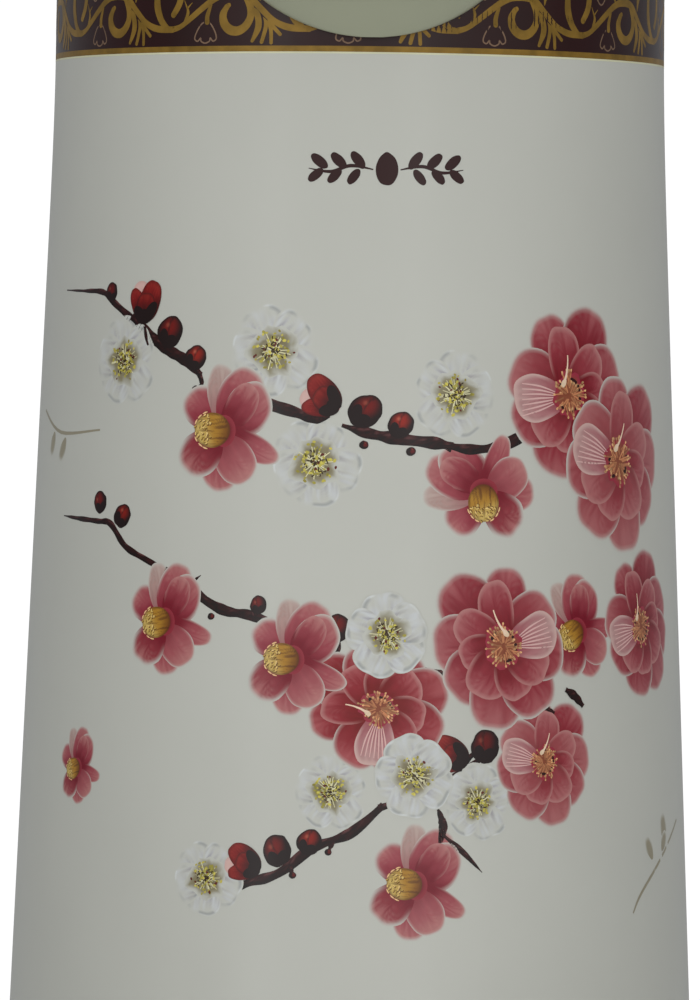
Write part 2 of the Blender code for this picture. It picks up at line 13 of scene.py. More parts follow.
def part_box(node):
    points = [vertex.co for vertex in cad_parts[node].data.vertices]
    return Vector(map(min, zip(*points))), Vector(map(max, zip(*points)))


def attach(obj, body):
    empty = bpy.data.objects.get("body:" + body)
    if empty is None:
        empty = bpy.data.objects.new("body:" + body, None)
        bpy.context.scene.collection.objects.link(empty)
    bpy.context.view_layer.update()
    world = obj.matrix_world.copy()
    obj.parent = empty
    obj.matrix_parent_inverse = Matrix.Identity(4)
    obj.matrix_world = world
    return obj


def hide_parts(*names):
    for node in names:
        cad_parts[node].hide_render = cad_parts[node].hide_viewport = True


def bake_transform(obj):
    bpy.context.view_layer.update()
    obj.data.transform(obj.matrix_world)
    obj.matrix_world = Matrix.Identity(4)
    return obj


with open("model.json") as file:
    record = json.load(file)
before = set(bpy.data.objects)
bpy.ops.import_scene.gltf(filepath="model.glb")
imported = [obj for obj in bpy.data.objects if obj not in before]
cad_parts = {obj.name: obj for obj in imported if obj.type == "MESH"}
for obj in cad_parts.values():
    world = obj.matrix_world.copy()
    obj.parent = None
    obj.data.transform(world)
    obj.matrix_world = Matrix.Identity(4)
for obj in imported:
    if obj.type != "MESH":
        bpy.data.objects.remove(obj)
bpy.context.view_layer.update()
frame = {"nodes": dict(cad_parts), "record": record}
MM = 0.001

# The body's surface, as the CAD has it.
BODY_R = 77.5
FLARE = 0.040
FLARE_START = 272.0
FLARE_SOFTNESS = 10.0
SHELL_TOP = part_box("outer_shell")[1].z / MM
SHELL_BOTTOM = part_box("outer_shell")[0].z / MM

# The printed band under the collar.
BAND_BOTTOM = 281.0
STRIPE = 1.45
BAND_TOP = 301.0
BAND_REPEATS = 13
BAND_SHIFT = -5.7

# Which material each slot's inner parts wear, and each node's slot.
LOOKS = {"ivory_plastic": "inner", "pearl_paint": "pearl", "gold_trim": "trim", "grey_plastic": "grey",
         "clear_plastic": "clear", "dark_rubber": "rubber", "white_silicone": "silicone", "steel": "steel",
         "silvered_glass": "glass"}
SLOTS = {part["node"]: part["material_slot"] for part in frame["record"]["subparts"]}

# The bellows, from the lid's floor to the push plate.
BELLOWS_SPAN = (339.0, 379.6)
BELLOWS_R = 31.0
BELLOWS_LIP = 2.0
BELLOWS_WALL = 1.4
BELLOWS_FOLDS = 5
FOLD_DEPTH = 7.0
FOLD_STEPS = 12

# Layers of ink, in mm above the paint.
INK = 0.02
LAYER = 0.0035
LEVEL = 0.08

# Photographic brightness of the studio on the body: ink colours are given as they look there.
STUDIO = 0.72


# --- colour and material helpers ----------------------------------------------------------------
def linear(value):
    value = value / 255
    return value / 12.92 if value <= 0.04045 else ((value + 0.055) / 1.055) ** 2.4


def seen(r, g, b):
    """A pigment that looks like this 0-255 colour under the studio's light."""
    return tuple(min(max(linear(c) / STUDIO - 0.012, 0.002), 0.95) for c in (r, g, b))


def mix(a, b, share):
    share = min(max(share, 0), 1)
    return tuple(x + (y - x) * share for x, y in zip(a, b))


def smooth(low, high, value):
    t = min(max((value - low) / (high - low), 0), 1)
    return t * t * (3 - 2 * t)


def shader(name, colour, roughness, metallic=0.0, coat=0.0, coat_roughness=0.05, transmission=0.0, ior=1.5,
           gloss=0.5):
    mat = bpy.data.materials.new(name)
    mat.use_nodes = True
    node = mat.node_tree.nodes["Principled BSDF"]
    node.inputs["Base Color"].default_value = (*colour, 1)
    node.inputs["Roughness"].default_value = roughness
    node.inputs["Metallic"].default_value = metallic
    node.inputs["Coat Weight"].default_value = coat
    node.inputs["Coat Roughness"].default_value = coat_roughness
    node.inputs["Transmission Weight"].default_value = transmission
    node.inputs["IOR"].default_value = ior
    node.inputs["Specular IOR Level"].default_value = gloss
    return mat, mat.node_tree, node


def noise_node(tree, scale, detail=3.0, stretch=None):
    coords = tree.nodes.new("ShaderNodeTexCoord")
    grain = tree.nodes.new("ShaderNodeTexNoise")
    grain.inputs["Scale"].default_value = scale
    grain.inputs["Detail"].default_value = detail
    source = coords.outputs["Object"]
    if stretch:
        mapping = tree.nodes.new("ShaderNodeMapping")
        mapping.inputs["Scale"].default_value = stretch
        tree.links.new(source, mapping.inputs["Vector"])
        source = mapping.outputs["Vector"]
    tree.links.new(source, grain.inputs["Vector"])
    return grain.outputs["Fac"]


def ramp(tree, value, stops):
    node = tree.nodes.new("ShaderNodeValToRGB")
    node.color_ramp.elements[0].position = stops[0][0]
    node.color_ramp.elements[0].color = (*stops[0][1], 1)
    node.color_ramp.elements[1].position = stops[-1][0]
    node.color_ramp.elements[1].color = (*stops[-1][1], 1)
    for place, colour in stops[1:-1]:
        node.color_ramp.elements.new(place).color = (*colour, 1)
    tree.links.new(value, node.inputs["Fac"])
    return node.outputs["Color"]


def vary(mat_parts, colour, spread, scale, stretch=None):
    """Cloudy variation of the base colour."""
    _, tree, node = mat_parts
    low = tuple(c * (1 - spread) for c in colour)
    high = tuple(min(c * (1 + spread), 1) for c in colour)
    fac = noise_node(tree, scale, 4.0, stretch)
    tree.links.new(ramp(tree, fac, [(0.35, low), (0.65, high)]), node.inputs["Base Color"])
    return mat_parts


def vary_roughness(mat_parts, low, high, scale, stretch=None):
    _, tree, node = mat_parts
    fac = noise_node(tree, scale, 5.0, stretch)
    span = tree.nodes.new("ShaderNodeMapRange")
    span.inputs["To Min"].default_value = low
    span.inputs["To Max"].default_value = high
    tree.links.new(fac, span.inputs["Value"])
    tree.links.new(span.outputs["Result"], node.inputs["Roughness"])
    return mat_parts


def bumpy(mat_parts, scale, depth, stretch=None):
    _, tree, node = mat_parts
    bump = tree.nodes.new("ShaderNodeBump")
    bump.inputs["Strength"].default_value = 0.5
    bump.inputs["Distance"].default_value = depth * MM
    tree.links.new(noise_node(tree, scale, 2.0, stretch), bump.inputs["Height"])
    tree.links.new(bump.outputs["Normal"], node.inputs["Normal"])
    return mat_parts


def make_materials():
    pearl = seen(176, 177, 170)
    # The ivory is the plastic's own colour darkened by painted shade: it is matched to the spout's chin where
    # the beak above shades it.
    ivory = seen(138, 141, 122)
    m = {}
    paint = shader("pearl_paint", pearl, 0.34, 0.0, 0.06, 0.08, gloss=0.32)
    m["pearl"] = bumpy(vary(paint, pearl, 0.010, 30), 700, 0.004)[0]
    printed = shader("printed_ink", (0.5, 0.5, 0.5), 0.34, 0.0, 0.06, 0.08, gloss=0.32)
    ink = printed[1].nodes.new("ShaderNodeAttribute")
    ink.attribute_name = "ink"
    printed[1].links.new(ink.outputs["Color"], printed[2].inputs["Base Color"])
    m["ink"] = bumpy(printed, 700, 0.004)[0]
    brown = seen(42, 22, 13)
    ground = shader("band_brown", brown, 0.34, 0.0, 0.06, 0.08, gloss=0.32)
    m["band"] = bumpy(vary(ground, brown, 0.14, 55), 700, 0.004)[0]
    gold = (0.25, 0.145, 0.022)
    leaf = shader("band_gold", gold, 0.42, 0.25, gloss=0.3)
    m["gold_ink"] = bumpy(vary(leaf, gold, 0.20, 210), 900, 0.004)[0]
    blush = (0.22, 0.135, 0.085)
    cream = seen(192, 192, 164)
    m["cream_ink"] = vary(shader("band_edge", cream, 0.4, gloss=0.3), cream, 0.05, 90)[0]
    m["line_ink"] = vary(shader("band_line", blush, 0.45, 0.1, gloss=0.3), blush, 0.12, 260)[0]
    plastic = shader("ivory_plastic", ivory, 0.32, 0.0, 0.12, 0.12)
    m["ivory"] = bumpy(vary_roughness(vary(plastic, ivory, 0.015, 22), 0.28, 0.38, 60), 1400, 0.010)[0]
    inner = seen(160, 162, 150)
    m["inner"] = bumpy(vary(shader("inner_plastic", inner, 0.45), inner, 0.03, 35), 900, 0.02)[0]
    grey = (0.11, 0.11, 0.105)
    m["grey"] = bumpy(vary(shader("grey_plastic", grey, 0.55), grey, 0.10, 45), 800, 0.03)[0]
    trim = (0.46, 0.31, 0.11)
    gilt = vary(shader("gold_trim", trim, 0.28, 0.85), trim, 0.05, 60)
    m["trim"] = bumpy(vary_roughness(gilt, 0.20, 0.36, 90), 900, 0.006)[0]
    steel = (0.56, 0.56, 0.57)
    m["steel"] = bumpy(vary_roughness(vary(shader("steel", steel, 0.25, 1.0), steel, 0.06, 80, (1, 1, 12)),
                                      0.18, 0.34, 120, (1, 1, 12)), 700, 0.006, (1, 1, 14))[0]
    rubber = (0.028, 0.028, 0.027)
    m["rubber"] = bumpy(vary(shader("dark_rubber", rubber, 0.75), rubber, 0.25, 60), 1100, 0.03)[0]
    silicone = (0.60, 0.60, 0.56)
    m["silicone"] = bumpy(vary(shader("white_silicone", silicone, 0.5), silicone, 0.04, 50), 700, 0.02)[0]
    clear = (0.72, 0.75, 0.72)
    m["clear"] = bumpy(vary(shader("clear_plastic", clear, 0.22, 0, 0.2, 0.1, 0.35, 1.45), clear, 0.03, 40),
                       500, 0.01)[0]
    mirror = (0.80, 0.82, 0.84)
    silvered = vary(shader("silvered_glass", mirror, 0.06, 0.95, 0.5, 0.02), mirror, 0.03, 18)
    m["glass"] = bumpy(vary_roughness(silvered, 0.04, 0.12, 14), 40, 0.05)[0]
    return m


# --- mesh helpers -------------------------------------------------------------------------------
def body_radius(z):
    rise = (FLARE_START - z) / FLARE_SOFTNESS
    return BODY_R + FLARE * FLARE_SOFTNESS * (math.log1p(math.exp(rise)) if rise < 40 else rise)


def on_body(angle, z, lift):
    """A point on the painted body. Angle in degrees from the spout, positive towards +X."""
    r = (body_radius(z) + lift) * MM
    a = math.radians(angle)
    return Vector((r * math.sin(a), -r * math.cos(a), z * MM))


def body_normal(angle, z):
    """The painted body's outward direction. It leans up a little where the body widens."""
    lean = FLARE / (1 + math.exp(min((z - FLARE_START) / FLARE_SOFTNESS, 40)))
    a = math.radians(angle)
    return Vector((math.sin(a), -math.cos(a), lean)).normalized()


def lie_flat(obj):
    """Gives a print the body's own shading direction everywhere."""
    normals = []
    for vertex in obj.data.vertices:
        angle = math.degrees(math.atan2(vertex.co.x, -vertex.co.y))
        normals.append(body_normal(angle, vertex.co.z / MM))
    obj.data.normals_split_custom_set_from_vertices(normals)


def add(name, bm, mat, sharp=35):
    bmesh.ops.remove_doubles(bm, verts=bm.verts, dist=1e-7)
    bmesh.ops.recalc_face_normals(bm, faces=bm.faces)
    mesh = bpy.data.meshes.new(name)
    bm.to_mesh(mesh)
    bm.free()
    obj = bpy.data.objects.new(name, mesh)
    bpy.context.collection.objects.link(obj)
    if mat:
        mesh.materials.append(mat)
    mesh.shade_smooth()
    mesh.set_sharp_from_angle(angle=math.radians(sharp))
    return obj


def bridge(bm, low, high):
    count = max(len(low), len(high))
    for k in range(count):
        n = (k + 1) % count
        if len(low) == 1 and len(high) > 1:
            bm.faces.new((low[0], high[n], high[k]))
        elif len(high) == 1 and len(low) > 1:
            bm.faces.new((low[k], low[n], high[0]))
        elif len(low) > 1:
            bm.faces.new((low[k], low[n], high[n], high[k]))


def rounded(outline, radius, steps=3):
    """Rounds the corners of a closed (r, z) outline, in mm. Points on the axis stay as they are."""
    result = []
    count = len(outline)
    for k, here in enumerate(outline):
        before = Vector(outline[k - 1])
        after = Vector(outline[(k + 1) % count])
        corner = Vector(here)
        if here[0] < 1e-6:
            result.append(here)
            continue
        back = before - corner
        ahead = after - corner
        turn = back.angle(ahead) if back.length > 1e-9 and ahead.length > 1e-9 else math.pi
        if turn > math.radians(158):
            result.append(here)
            continue
        cut = min(radius, back.length * 0.45, ahead.length * 0.45)
        start = corner + back.normalized() * cut
        end = corner + ahead.normalized() * cut
        for n in range(steps + 1):
            t = n / steps
            result.append(tuple(start * (1 - t) ** 2 + corner * 2 * t * (1 - t) + end * t * t))
    return result


def turned(outline, segments=160, at=(0, 0)):
    """A closed (r, z) outline in mm, turned about a vertical line."""
    bm = bmesh.new()
    rings = []
    for r, z in outline:
        if r < 1e-6:
            rings.append([bm.verts.new((at[0] * MM, at[1] * MM, z * MM))])
            continue
        rings.append([bm.verts.new(((at[0] + r * math.cos(a)) * MM, (at[1] + r * math.sin(a)) * MM, z * MM))
                      for a in (2 * math.pi * k / segments for k in range(segments))])
    for low, high in zip(rings, rings[1:] + rings[:1]):
        bridge(bm, low, high)
    return bm


def block(name, low, high):
    bm = bmesh.new()
    size = (Vector(high) - Vector(low)) * MM
    middle = (Vector(high) + Vector(low)) / 2 * MM
    bmesh.ops.create_cube(bm, size=1, matrix=Matrix.Translation(middle) @ Matrix.Diagonal((*size, 1)))
    return add(name, bm, None)


def rod(name, radius, start, end, segments=48):
    start = Vector(start) * MM
    axis = Vector(end) * MM - start
    length = axis.length / MM
    obj = add(name, turned([(0, length), (radius, length), (radius, 0), (0, 0)], segments), None)
    place = Matrix.Translation(start) @ axis.to_track_quat("Z", "Y").to_matrix().to_4x4()
    obj.data.transform(place)
    return obj


def carve(obj, tool, operation="DIFFERENCE"):
    """Applies one boolean and removes the tool."""
    mod = obj.modifiers.new("Cut", "BOOLEAN")
    mod.operation = operation
    mod.solver = "EXACT"
    mod.object = tool
    settle(obj)
    bpy.data.objects.remove(tool)


def settle(obj):
    """Applies an object's modifiers to its mesh."""
    mesh = bpy.data.meshes.new_from_object(obj.evaluated_get(bpy.context.evaluated_depsgraph_get()))
    obj.modifiers.clear()
    obj.data = mesh


def soften(obj, width, segments=3, angle=35):
    """Rounds an object's edges and keeps the flat faces flat."""
    mod = obj.modifiers.new("Round", "BEVEL")
    mod.width = width * MM
    mod.segments = segments
    mod.limit_method = "ANGLE"
    mod.angle_limit = math.radians(angle)
    mod.harden_normals = True
    settle(obj)
    return obj


def stand_for(obj, body, slot, *nodes):
    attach(obj, body)
    if nodes:
        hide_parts(*nodes)
    return obj


# --- printed decoration -------------------------------------------------------------------------
class Ink:
    """A sheet of printed patches wrapped on the body. Patches are grids of (x, y) mm about one place."""

    def __init__(self, name, angle, z, turn=0.0, scale=1.0, mirror=1, level=0):
        self.name = name
        self.angle = angle
        self.z = z
        self.turn = math.radians(turn)
        self.scale = scale
        self.mirror = mirror
        self.bm = bmesh.new()
        self.colours = []
        self.layer = level * LEVEL / LAYER

    def place(self, x, y, lift):
        x *= self.scale * self.mirror
        y *= self.scale
        across = x * math.cos(self.turn) - y * math.sin(self.turn)
        up = x * math.sin(self.turn) + y * math.cos(self.turn)
        z = self.z + up
        return on_body(self.angle + math.degrees(across / body_radius(z)), z, lift)

    def patch(self, rows, colours, step=1, sunk=False):
        """Adds a grid: rows of (x, y) and the same rows of colours. A sunk patch ends down on the paint."""
        self.layer += step
        grid = []
        for row, tints in zip(rows, colours):
            lift = INK / 2 if sunk and row is rows[-1] else INK + LAYER * self.layer
            grid.append([self.bm.verts.new(self.place(x, y, lift)) for x, y in row])
            self.colours.extend(tints)
        for low, high in zip(grid, grid[1:]):
            for a, b, c, d in zip(low, low[1:], high[1:], high):
                self.bm.faces.new((a, b, c, d))

    def petal(self, base, angle, length, width, paint, bend=0.0, soft=0.0, egg=0.28, notch=0.03, rings=9,
              spokes=40, step=1):
        """A spoon-shaped petal from a base point. paint(along, across, edge) gives its colour."""
        a = math.radians(angle)
        ahead = Vector((math.cos(a), math.sin(a)))
        side = Vector((-ahead.y, ahead.x))
        seed = self.layer * 3.7 + angle * 0.13
        points = []
        tints = []
        for i in range(rings + 1):
            rho = 1 - (1 - i / rings) ** 1.45
            row = []
            tint = []
            for j in range(spokes + 1):
                b = 2 * math.pi * j / spokes
                c = math.cos(b)
                waver = 1 + 0.055 * noise(Vector((math.cos(b) * 1.6, math.sin(b) * 1.6, seed)))
                dent = 1 - notch * math.exp(-(math.sin(b) / 0.30) ** 2) * (c > 0)
                along = 0.5 + 0.5 * c * rho * waver * dent
                across = math.sin(b) * rho * waver * (1 + egg * c)
                p = Vector(base) + ahead * (length * along) + side * (width / 2 * across + bend * along ** 2)
                row.append((p.x, p.y))
                colour = paint(along, across, rho)
                if soft:
                    fade = smooth(1 - soft, 1.0, rho) * smooth(0.25, 0.7, along)
                    colour = mix(colour, PAPER, fade)
                tint.append(colour)
            points.append(row)
            tints.append(tint)
        self.patch(points, tints, step, soft > 0)

    def disc(self, centre, rx, ry, turn, paint, rings=8, spokes=22, step=1, wobble=0.0):
        """An oval. paint(radius, angle) gives its colour."""
        a = math.radians(turn)
        points = []
        tints = []
        for i in range(rings + 1):
            rho = i / rings
            row = []
            tint = []
            for j in range(spokes + 1):
                b = 2 * math.pi * j / spokes
                swell = 1 + wobble * noise(Vector((math.cos(b) * 2, math.sin(b) * 2, self.layer * 1.3)))
                x = rx * rho * swell * math.cos(b)
                y = ry * rho * swell * math.sin(b)
                row.append((centre[0] + x * math.cos(a) - y * math.sin(a),
                            centre[1] + x * math.sin(a) + y * math.cos(a)))
                tint.append(paint(rho, b))
            points.append(row)
            tints.append(tint)
        self.patch(points, tints, step)

    def stroke(self, path, widths, paint, smoothness=5, columns=4, step=1, knots=0.0):
        """A tapered line through points. paint(along, across) gives its colour."""
        line = curve_through(path, smoothness)
        points = []
        tints = []
        for k, p in enumerate(line):
            ahead = (line[min(k + 1, len(line) - 1)] - line[max(k - 1, 0)]).normalized()
            side = Vector((-ahead.y, ahead.x))
            s = k / (len(line) - 1)
            place = s * (len(widths) - 1)
            n = min(int(place), len(widths) - 2)
            half = (widths[n] + (widths[n + 1] - widths[n]) * smooth(0, 1, place - n)) / 2
            half *= 1 + knots * noise(Vector((s * len(line) * 0.21, widths[0] * 3, 8.0)))
            spots = [2 * j / columns - 1 for j in range(columns + 1)]
            points.append([tuple(p + side * half * t) for t in spots])
            tints.append([paint(s, t) for t in spots])
        self.patch(points, tints, step)

    def finish(self, mat):
        mesh = bpy.data.meshes.new(self.name)
        self.bm.to_mesh(mesh)
        self.bm.free()
        attribute = mesh.color_attributes.new("ink", "FLOAT_COLOR", "POINT")
        for k, colour in enumerate(self.colours):
            attribute.data[k].color = (*colour, 1)
        mesh.materials.append(mat)
        mesh.shade_smooth()
        obj = bpy.data.objects.new(self.name, mesh)
        bpy.context.collection.objects.link(obj)
        face_outward(obj)
        return stand_for(obj, "pot", "pearl_paint")


def face_outward(obj):
    """Turns each face of a print away from the pot's axis."""
    bm = bmesh.new()
    bm.from_mesh(obj.data)
    bm.normal_update()
    for face in bm.faces:
        centre = face.calc_center_median()
        if face.normal.x * centre.x + face.normal.y * centre.y < 0:
            face.normal_flip()
    bm.to_mesh(obj.data)
    bm.free()
    lie_flat(obj)


def curve_through(path, steps):
    """Points of a smooth curve through 2-D points."""
    if len(path) == 2:
        path = [path[0], ((path[0][0] + path[1][0]) / 2, (path[0][1] + path[1][1]) / 2), path[1]]
    line = []
    for k in range(len(path) - 1):
        a = Vector(path[max(k - 1, 0)])
        b = Vector(path[k])
        c = Vector(path[k + 1])
        d = Vector(path[min(k + 2, len(path) - 1)])
        for n in range(steps):
            f = n / steps
            line.append(b + 0.5 * f * (c - a + f * (2 * a - 5 * b + 4 * c - d + f * (3 * (b - c) + d - a))))
    line.append(Vector(path[-1]))
    return line


PAPER = seen(176, 177, 170)
DUSK = 0.82


def streaks(s, t, seed, count=9):
    return noise(Vector((t * count, s * 1.6, seed)))


def pink_petal(seed, deep=(128, 34, 50), mid=(156, 74, 82), pale=(176, 116, 114), light=0.0, rim=0.45,
               edge=(190, 148, 142)):
    """Deep rose at the base, paler outwards, with fine veins, soft clouds and a pale rim."""
    deep, mid, pale, edge = (seen(*c) for c in (deep, mid, pale, edge))

    def paint(s, t, rho):
        cloud = noise(Vector((s * 2.6, t * 2.0, seed + 3)))
        colour = mix(deep, mid, smooth(0.12, 0.72, s + 0.22 * cloud + light))
        colour = mix(colour, pale, smooth(0.52, 1.05, s + 0.25 * streaks(s, t, seed) + 0.5 * light) * 0.9)
        vein = streaks(s, t, seed, 11) * 0.20 * (1 - s * 0.5)
        colour = tuple(c * (1 + vein) for c in colour)
        colour = mix(colour, edge, max(light, 0) * 0.8)
        border = smooth(0.80, 0.97, rho) * smooth(0.2, 0.5, s)
        return tuple(c * DUSK for c in mix(colour, edge, border * rim))

    return paint


def white_petal(seed, strength=1.0):
    """A nearly clear white petal: lilac grey veins near the centre, a few crisp brighter edges."""
    white = seen(183, 186, 187)
    lilac = seen(126, 121, 130)
    bright = seen(198, 202, 203)
    grey = seen(138, 141, 141)

    def paint(s, t, rho):
        vein = streaks(s, t, seed, 8)
        cloud = noise(Vector((s * 3, t * 2, seed + 11)))
        colour = mix(PAPER, white, (0.30 + 1.0 * cloud + 0.6 * vein) * strength)
        veins = smooth(0.90, 0.15, s) * (0.26 + 1.6 * streaks(s, t, seed + 7, 6))
        colour = mix(colour, lilac, min(max(veins, 0), 0.8))
        where = smooth(0.02, 0.3, noise(Vector((t * 1.7, s * 1.7, seed + 19)))) * min(strength, 1)
        rim = smooth(0.86, 0.91, rho) * smooth(0.97, 0.92, rho)
        colour = mix(colour, bright, rim * where * 0.8)
        shade = smooth(0.70, 0.84, rho) * smooth(0.95, 0.86, rho)
        colour = mix(colour, grey, shade * smooth(0.0, -0.3, cloud) * 0.8)
        whole = smooth(1.0, 1.5, strength)
        fade = smooth(0.62 + 0.26 * where + 0.08 * cloud + 0.1 * whole, 0.99, rho)
        return mix(colour, PAPER, fade * (1 - 0.6 * whole))

    return paint


def plain(*colour):
    pigment = seen(*colour)
    return lambda *_: pigment


def barrel(ink, centre, size, angle):
    """The golden bundle of stamens, seen from the side, its tips at the left end."""
    light, gold = seen(190, 164, 94), seen(158, 116, 44)
    dark, brown = seen(108, 66, 22), seen(66, 32, 14)

    def body(rho, b):
        x = rho * math.cos(b)
        y = rho * math.sin(b)
        line = noise(Vector((y * 9.5, x * 1.1, 2.0)))
        colour = mix(light, gold, smooth(-0.8, 0.15, x + 0.25 * y))
        colour = mix(colour, dark, smooth(0.1, 0.95, x - 0.2 * y))
        colour = mix(colour, brown, smooth(0.0, 0.4, line) * 0.6)
        return mix(colour, brown, smooth(0.80, 1.0, rho) * 0.55)

    ink.disc(centre, size * 0.53, size * 0.47, angle, body, rings=14, spokes=56)
    draw = random.Random(int(size * 100 + angle))
    a = math.radians(angle + 180)
    for _ in range(40):
        turn = draw.uniform(-1.3, 1.3)
        reach = size * draw.uniform(0.16, 0.54)
        x = centre[0] + math.cos(a + turn) * reach
        y = centre[1] + math.sin(a + turn) * reach * 0.95
        tone = draw.random()
        way = draw.uniform(0, 180)
        ink.disc((x + 0.14, y - 0.16), 0.50, 0.26, way, plain(92, 56, 22), 2, 8, 0.1)
        ink.disc((x, y), 0.44, 0.22, way, plain(160 + 56 * tone, 132 + 56 * tone, 60 + 62 * tone), 2, 8, 0.1)
    for turn in (-1.15, -0.8, -0.45, 0.5, 0.9, 1.2):
        rim = size * 0.55
        ink.stroke([(centre[0] + math.cos(a + turn + d) * rim,
                     centre[1] + math.sin(a + turn + d) * rim * 0.93) for d in (-0.14, 0, 0.14)],
                   (0.2, 0.42, 0.2), plain(214, 176, 128), 3, 1, 0.1)


def pink_single(name, angle, z, turn=0, scale=1.0, mirror=1, level=0, light=0.0):
    """An open pink blossom seen half from the side, petals behind a golden barrel of stamens."""
    ink = Ink(name, angle, z, turn, scale, mirror, level)
    root = (3.0, 0.4)
    rose = (116, 26, 40)
    ink.petal((1.2, 1.2), 131, 12.8, 11.4, pink_petal(1, light=light - 0.05, rim=0.2), 0.6, 0.30, 0.12)
    ink.petal((2.2, 1.6), 88, 16.4, 8.6, pink_petal(2, (148, 94, 96), (168, 136, 130), (182, 164, 156),
                                                     light + 0.1), 0.6, 0.2, 0.15)
    ink.petal(root, 64, 18.2, 12.2, pink_petal(3, light=light + 0.02, rim=0.3), -0.6, 0.18, 0.14)
    ink.petal(root, 34, 16.4, 13.2, pink_petal(4, rose, (150, 64, 74), light=light), 1.6, 0.18, 0.08)
    ink.petal((4.4, 1.0), 54, 13.0, 8.4, pink_petal(5, rose, (146, 60, 70), light=light, rim=0.3),
              0.8, 0.0, 0.10)
    ink.petal((4.0, 0.2), 322, 17.0, 7.6, pink_petal(6, rose, light=light, rim=0.5), 3.0, 0.14, 0.0)
    ink.petal((1.8, -0.6), 272, 16.2, 11.2, pink_petal(7, light=light, rim=0.3), 0.6, 0.18, 0.12)
    ink.petal((2.4, -1.4), 303, 14.8, 11.6, pink_petal(8, light=light + 0.1, rim=0.4), 0.2, 0.14, 0.12)
    ink.petal((2.0, -0.8), 226, 14.4, 12.4, pink_petal(9, rose, (138, 54, 62), light=light, rim=0.2),
              -0.4, 0.30, 0.12)
    shadow = seen(88, 20, 28)
    rosy = seen(132, 46, 56)
    ink.disc((3.4, -0.2), 3.4, 4.2, 0, lambda rho, b: mix(shadow, rosy, smooth(0.25, 1.0, rho)))
    barrel(ink, (0, 0), 9.8, 0)
    return ink


def filaments(ink, centre, size, seed):
    """A dense tuft of tan filaments with brown tips and dark gaps between them."""
    draw = random.Random(seed)
    tan, gap, rose = seen(128, 72, 52), seen(84, 34, 30), seen(140, 44, 62)

    def ground(rho, b):
        tuft = mix(tan, gap, 0.6 * abs(noise(Vector((rho * 5, b * 3, seed)))))
        return mix(tuft, rose, smooth(0.55, 1.0, rho))

    ink.disc(centre, size, size * 1.15, 0, ground, 8, 26, 1, 0.35)
    for k in range(64):
        a = draw.uniform(0, 2 * math.pi)
        inner = size * draw.uniform(0.1, 0.6)
        reach = size * draw.uniform(0.55, 1.1)
        bend = a + draw.uniform(-0.35, 0.35)
        start = (centre[0] + inner * math.cos(a), centre[1] + inner * 1.1 * math.sin(a))
        end = (centre[0] + reach * math.cos(bend), centre[1] + reach * 1.12 * math.sin(bend))
        tone = draw.uniform(0.78, 1.12)
        ink.stroke([start, end], [0.36, 0.24], plain(168 * tone, 112 * tone, 78 * tone), 3, 1, 0.06)
        ink.disc(end, 0.36, 0.27, math.degrees(bend), plain(196 * tone, 152 * tone, 108 * tone), 1, 7, 0.04)
        if k % 4 == 0:
            spot = (centre[0] + size * 0.7 * math.cos(a + 1), centre[1] + size * 0.8 * math.sin(a + 1))
            ink.disc(spot, draw.uniform(0.3, 0.6), 0.34, draw.uniform(0, 180), plain(46, 16, 18), 1, 8, 0.04)


def pistil(ink, centre, angle, length=6.2):
    """One pale curved thread with a hook at its end."""
    a = math.radians(angle)
    line = []
    for s in (0, 0.3, 0.6, 0.85, 1):
        lean = 1.7 * s * s
        line.append((centre[0] + length * s * math.cos(a) - lean * math.sin(a),
                     centre[1] + length * s * math.sin(a) + lean * math.cos(a)))
    ink.disc(centre, 1.0, 0.7, angle, plain(206, 184, 156), 3, 12, 0.1, 0.4)
    ink.stroke(line, [0.75, 0.5, 0.36, 0.3], plain(216, 190, 166), 5, 2, 0.1)


def pink_double(name, angle, z, turn=0, scale=1.0, mirror=1, level=0, pale=0.0, red=0.0):
    """A full blossom seen from the front: rounds of broad overlapping petals with pale edges."""
    ink = Ink(name, angle, z, turn, scale, mirror, level)
    deep = mix((114, 22, 34), (116, 18, 26), red)
    mid = mix((142, 50, 60), (140, 38, 46), red)
    tip = mix((168, 100, 102), (168, 88, 90), red)

    def paint(seed, light=0.0, rim=0.7):
        return pink_petal(seed, deep, mid, tip, light + pale, rim, (184, 134, 130))

    outer = ((112, 18.5, 12.5, 1, -0.08), (66, 20.5, 15.5, 2, -0.20), (20, 17.5, 15.5, 3, 0.04),
             (338, 17, 14.5, 4, -0.10), (298, 19.5, 15.0, 5, 0.06), (254, 18.5, 15.5, 6, -0.04),
             (206, 16.5, 15.0, 7, -0.14), (160, 16.5, 14.0, 8, 0.06))
    for way, length, width, seed, light in outer:
        foot = (1.2 * math.cos(math.radians(way)), 1.2 * math.sin(math.radians(way)))
        ink.petal(foot, way, length, width, paint(seed, light, 0.35), 0.3, 0.16, 0.14, 0.05)
    inner = ((96, 16.0, 9.4, 11, -0.02), (44, 14.2, 9.6, 12, 0.04), (2, 11.8, 9.4, 17, -0.12),
             (316, 14.0, 11.4, 13, -0.02), (266, 13.4, 10.4, 14, -0.10), (224, 13.8, 11.2, 15, 0.04))
    for way, length, width, seed, light in inner:
        ink.petal((0, 0), way, length, width, paint(seed, light, 0.65), 0.8, 0.0, 0.14, 0.06)
    striped = pink_petal(19, (140, 46, 62), (168, 110, 114), (184, 150, 146), 0.10, 1.0, (200, 168, 162))
    ink.petal((-0.8, -0.2), 186, 14.8, 10.6, striped, -0.8)
    for k in range(7):
        y = -3.6 + 1.2 * k
        ink.stroke([(-4.2, -0.6 + 0.35 * y), (-8.5, 0.75 * y - 0.8), (-13.2, y - 1.2)], (0.2, 0.4, 0.2),
                   plain(196, 160, 156), 5, 1, 0.5)
    filaments(ink, (0, 0), 4.6, int(angle * 7 + z))
    pistil(ink, (-1.6, 2.6), 64)
    return ink


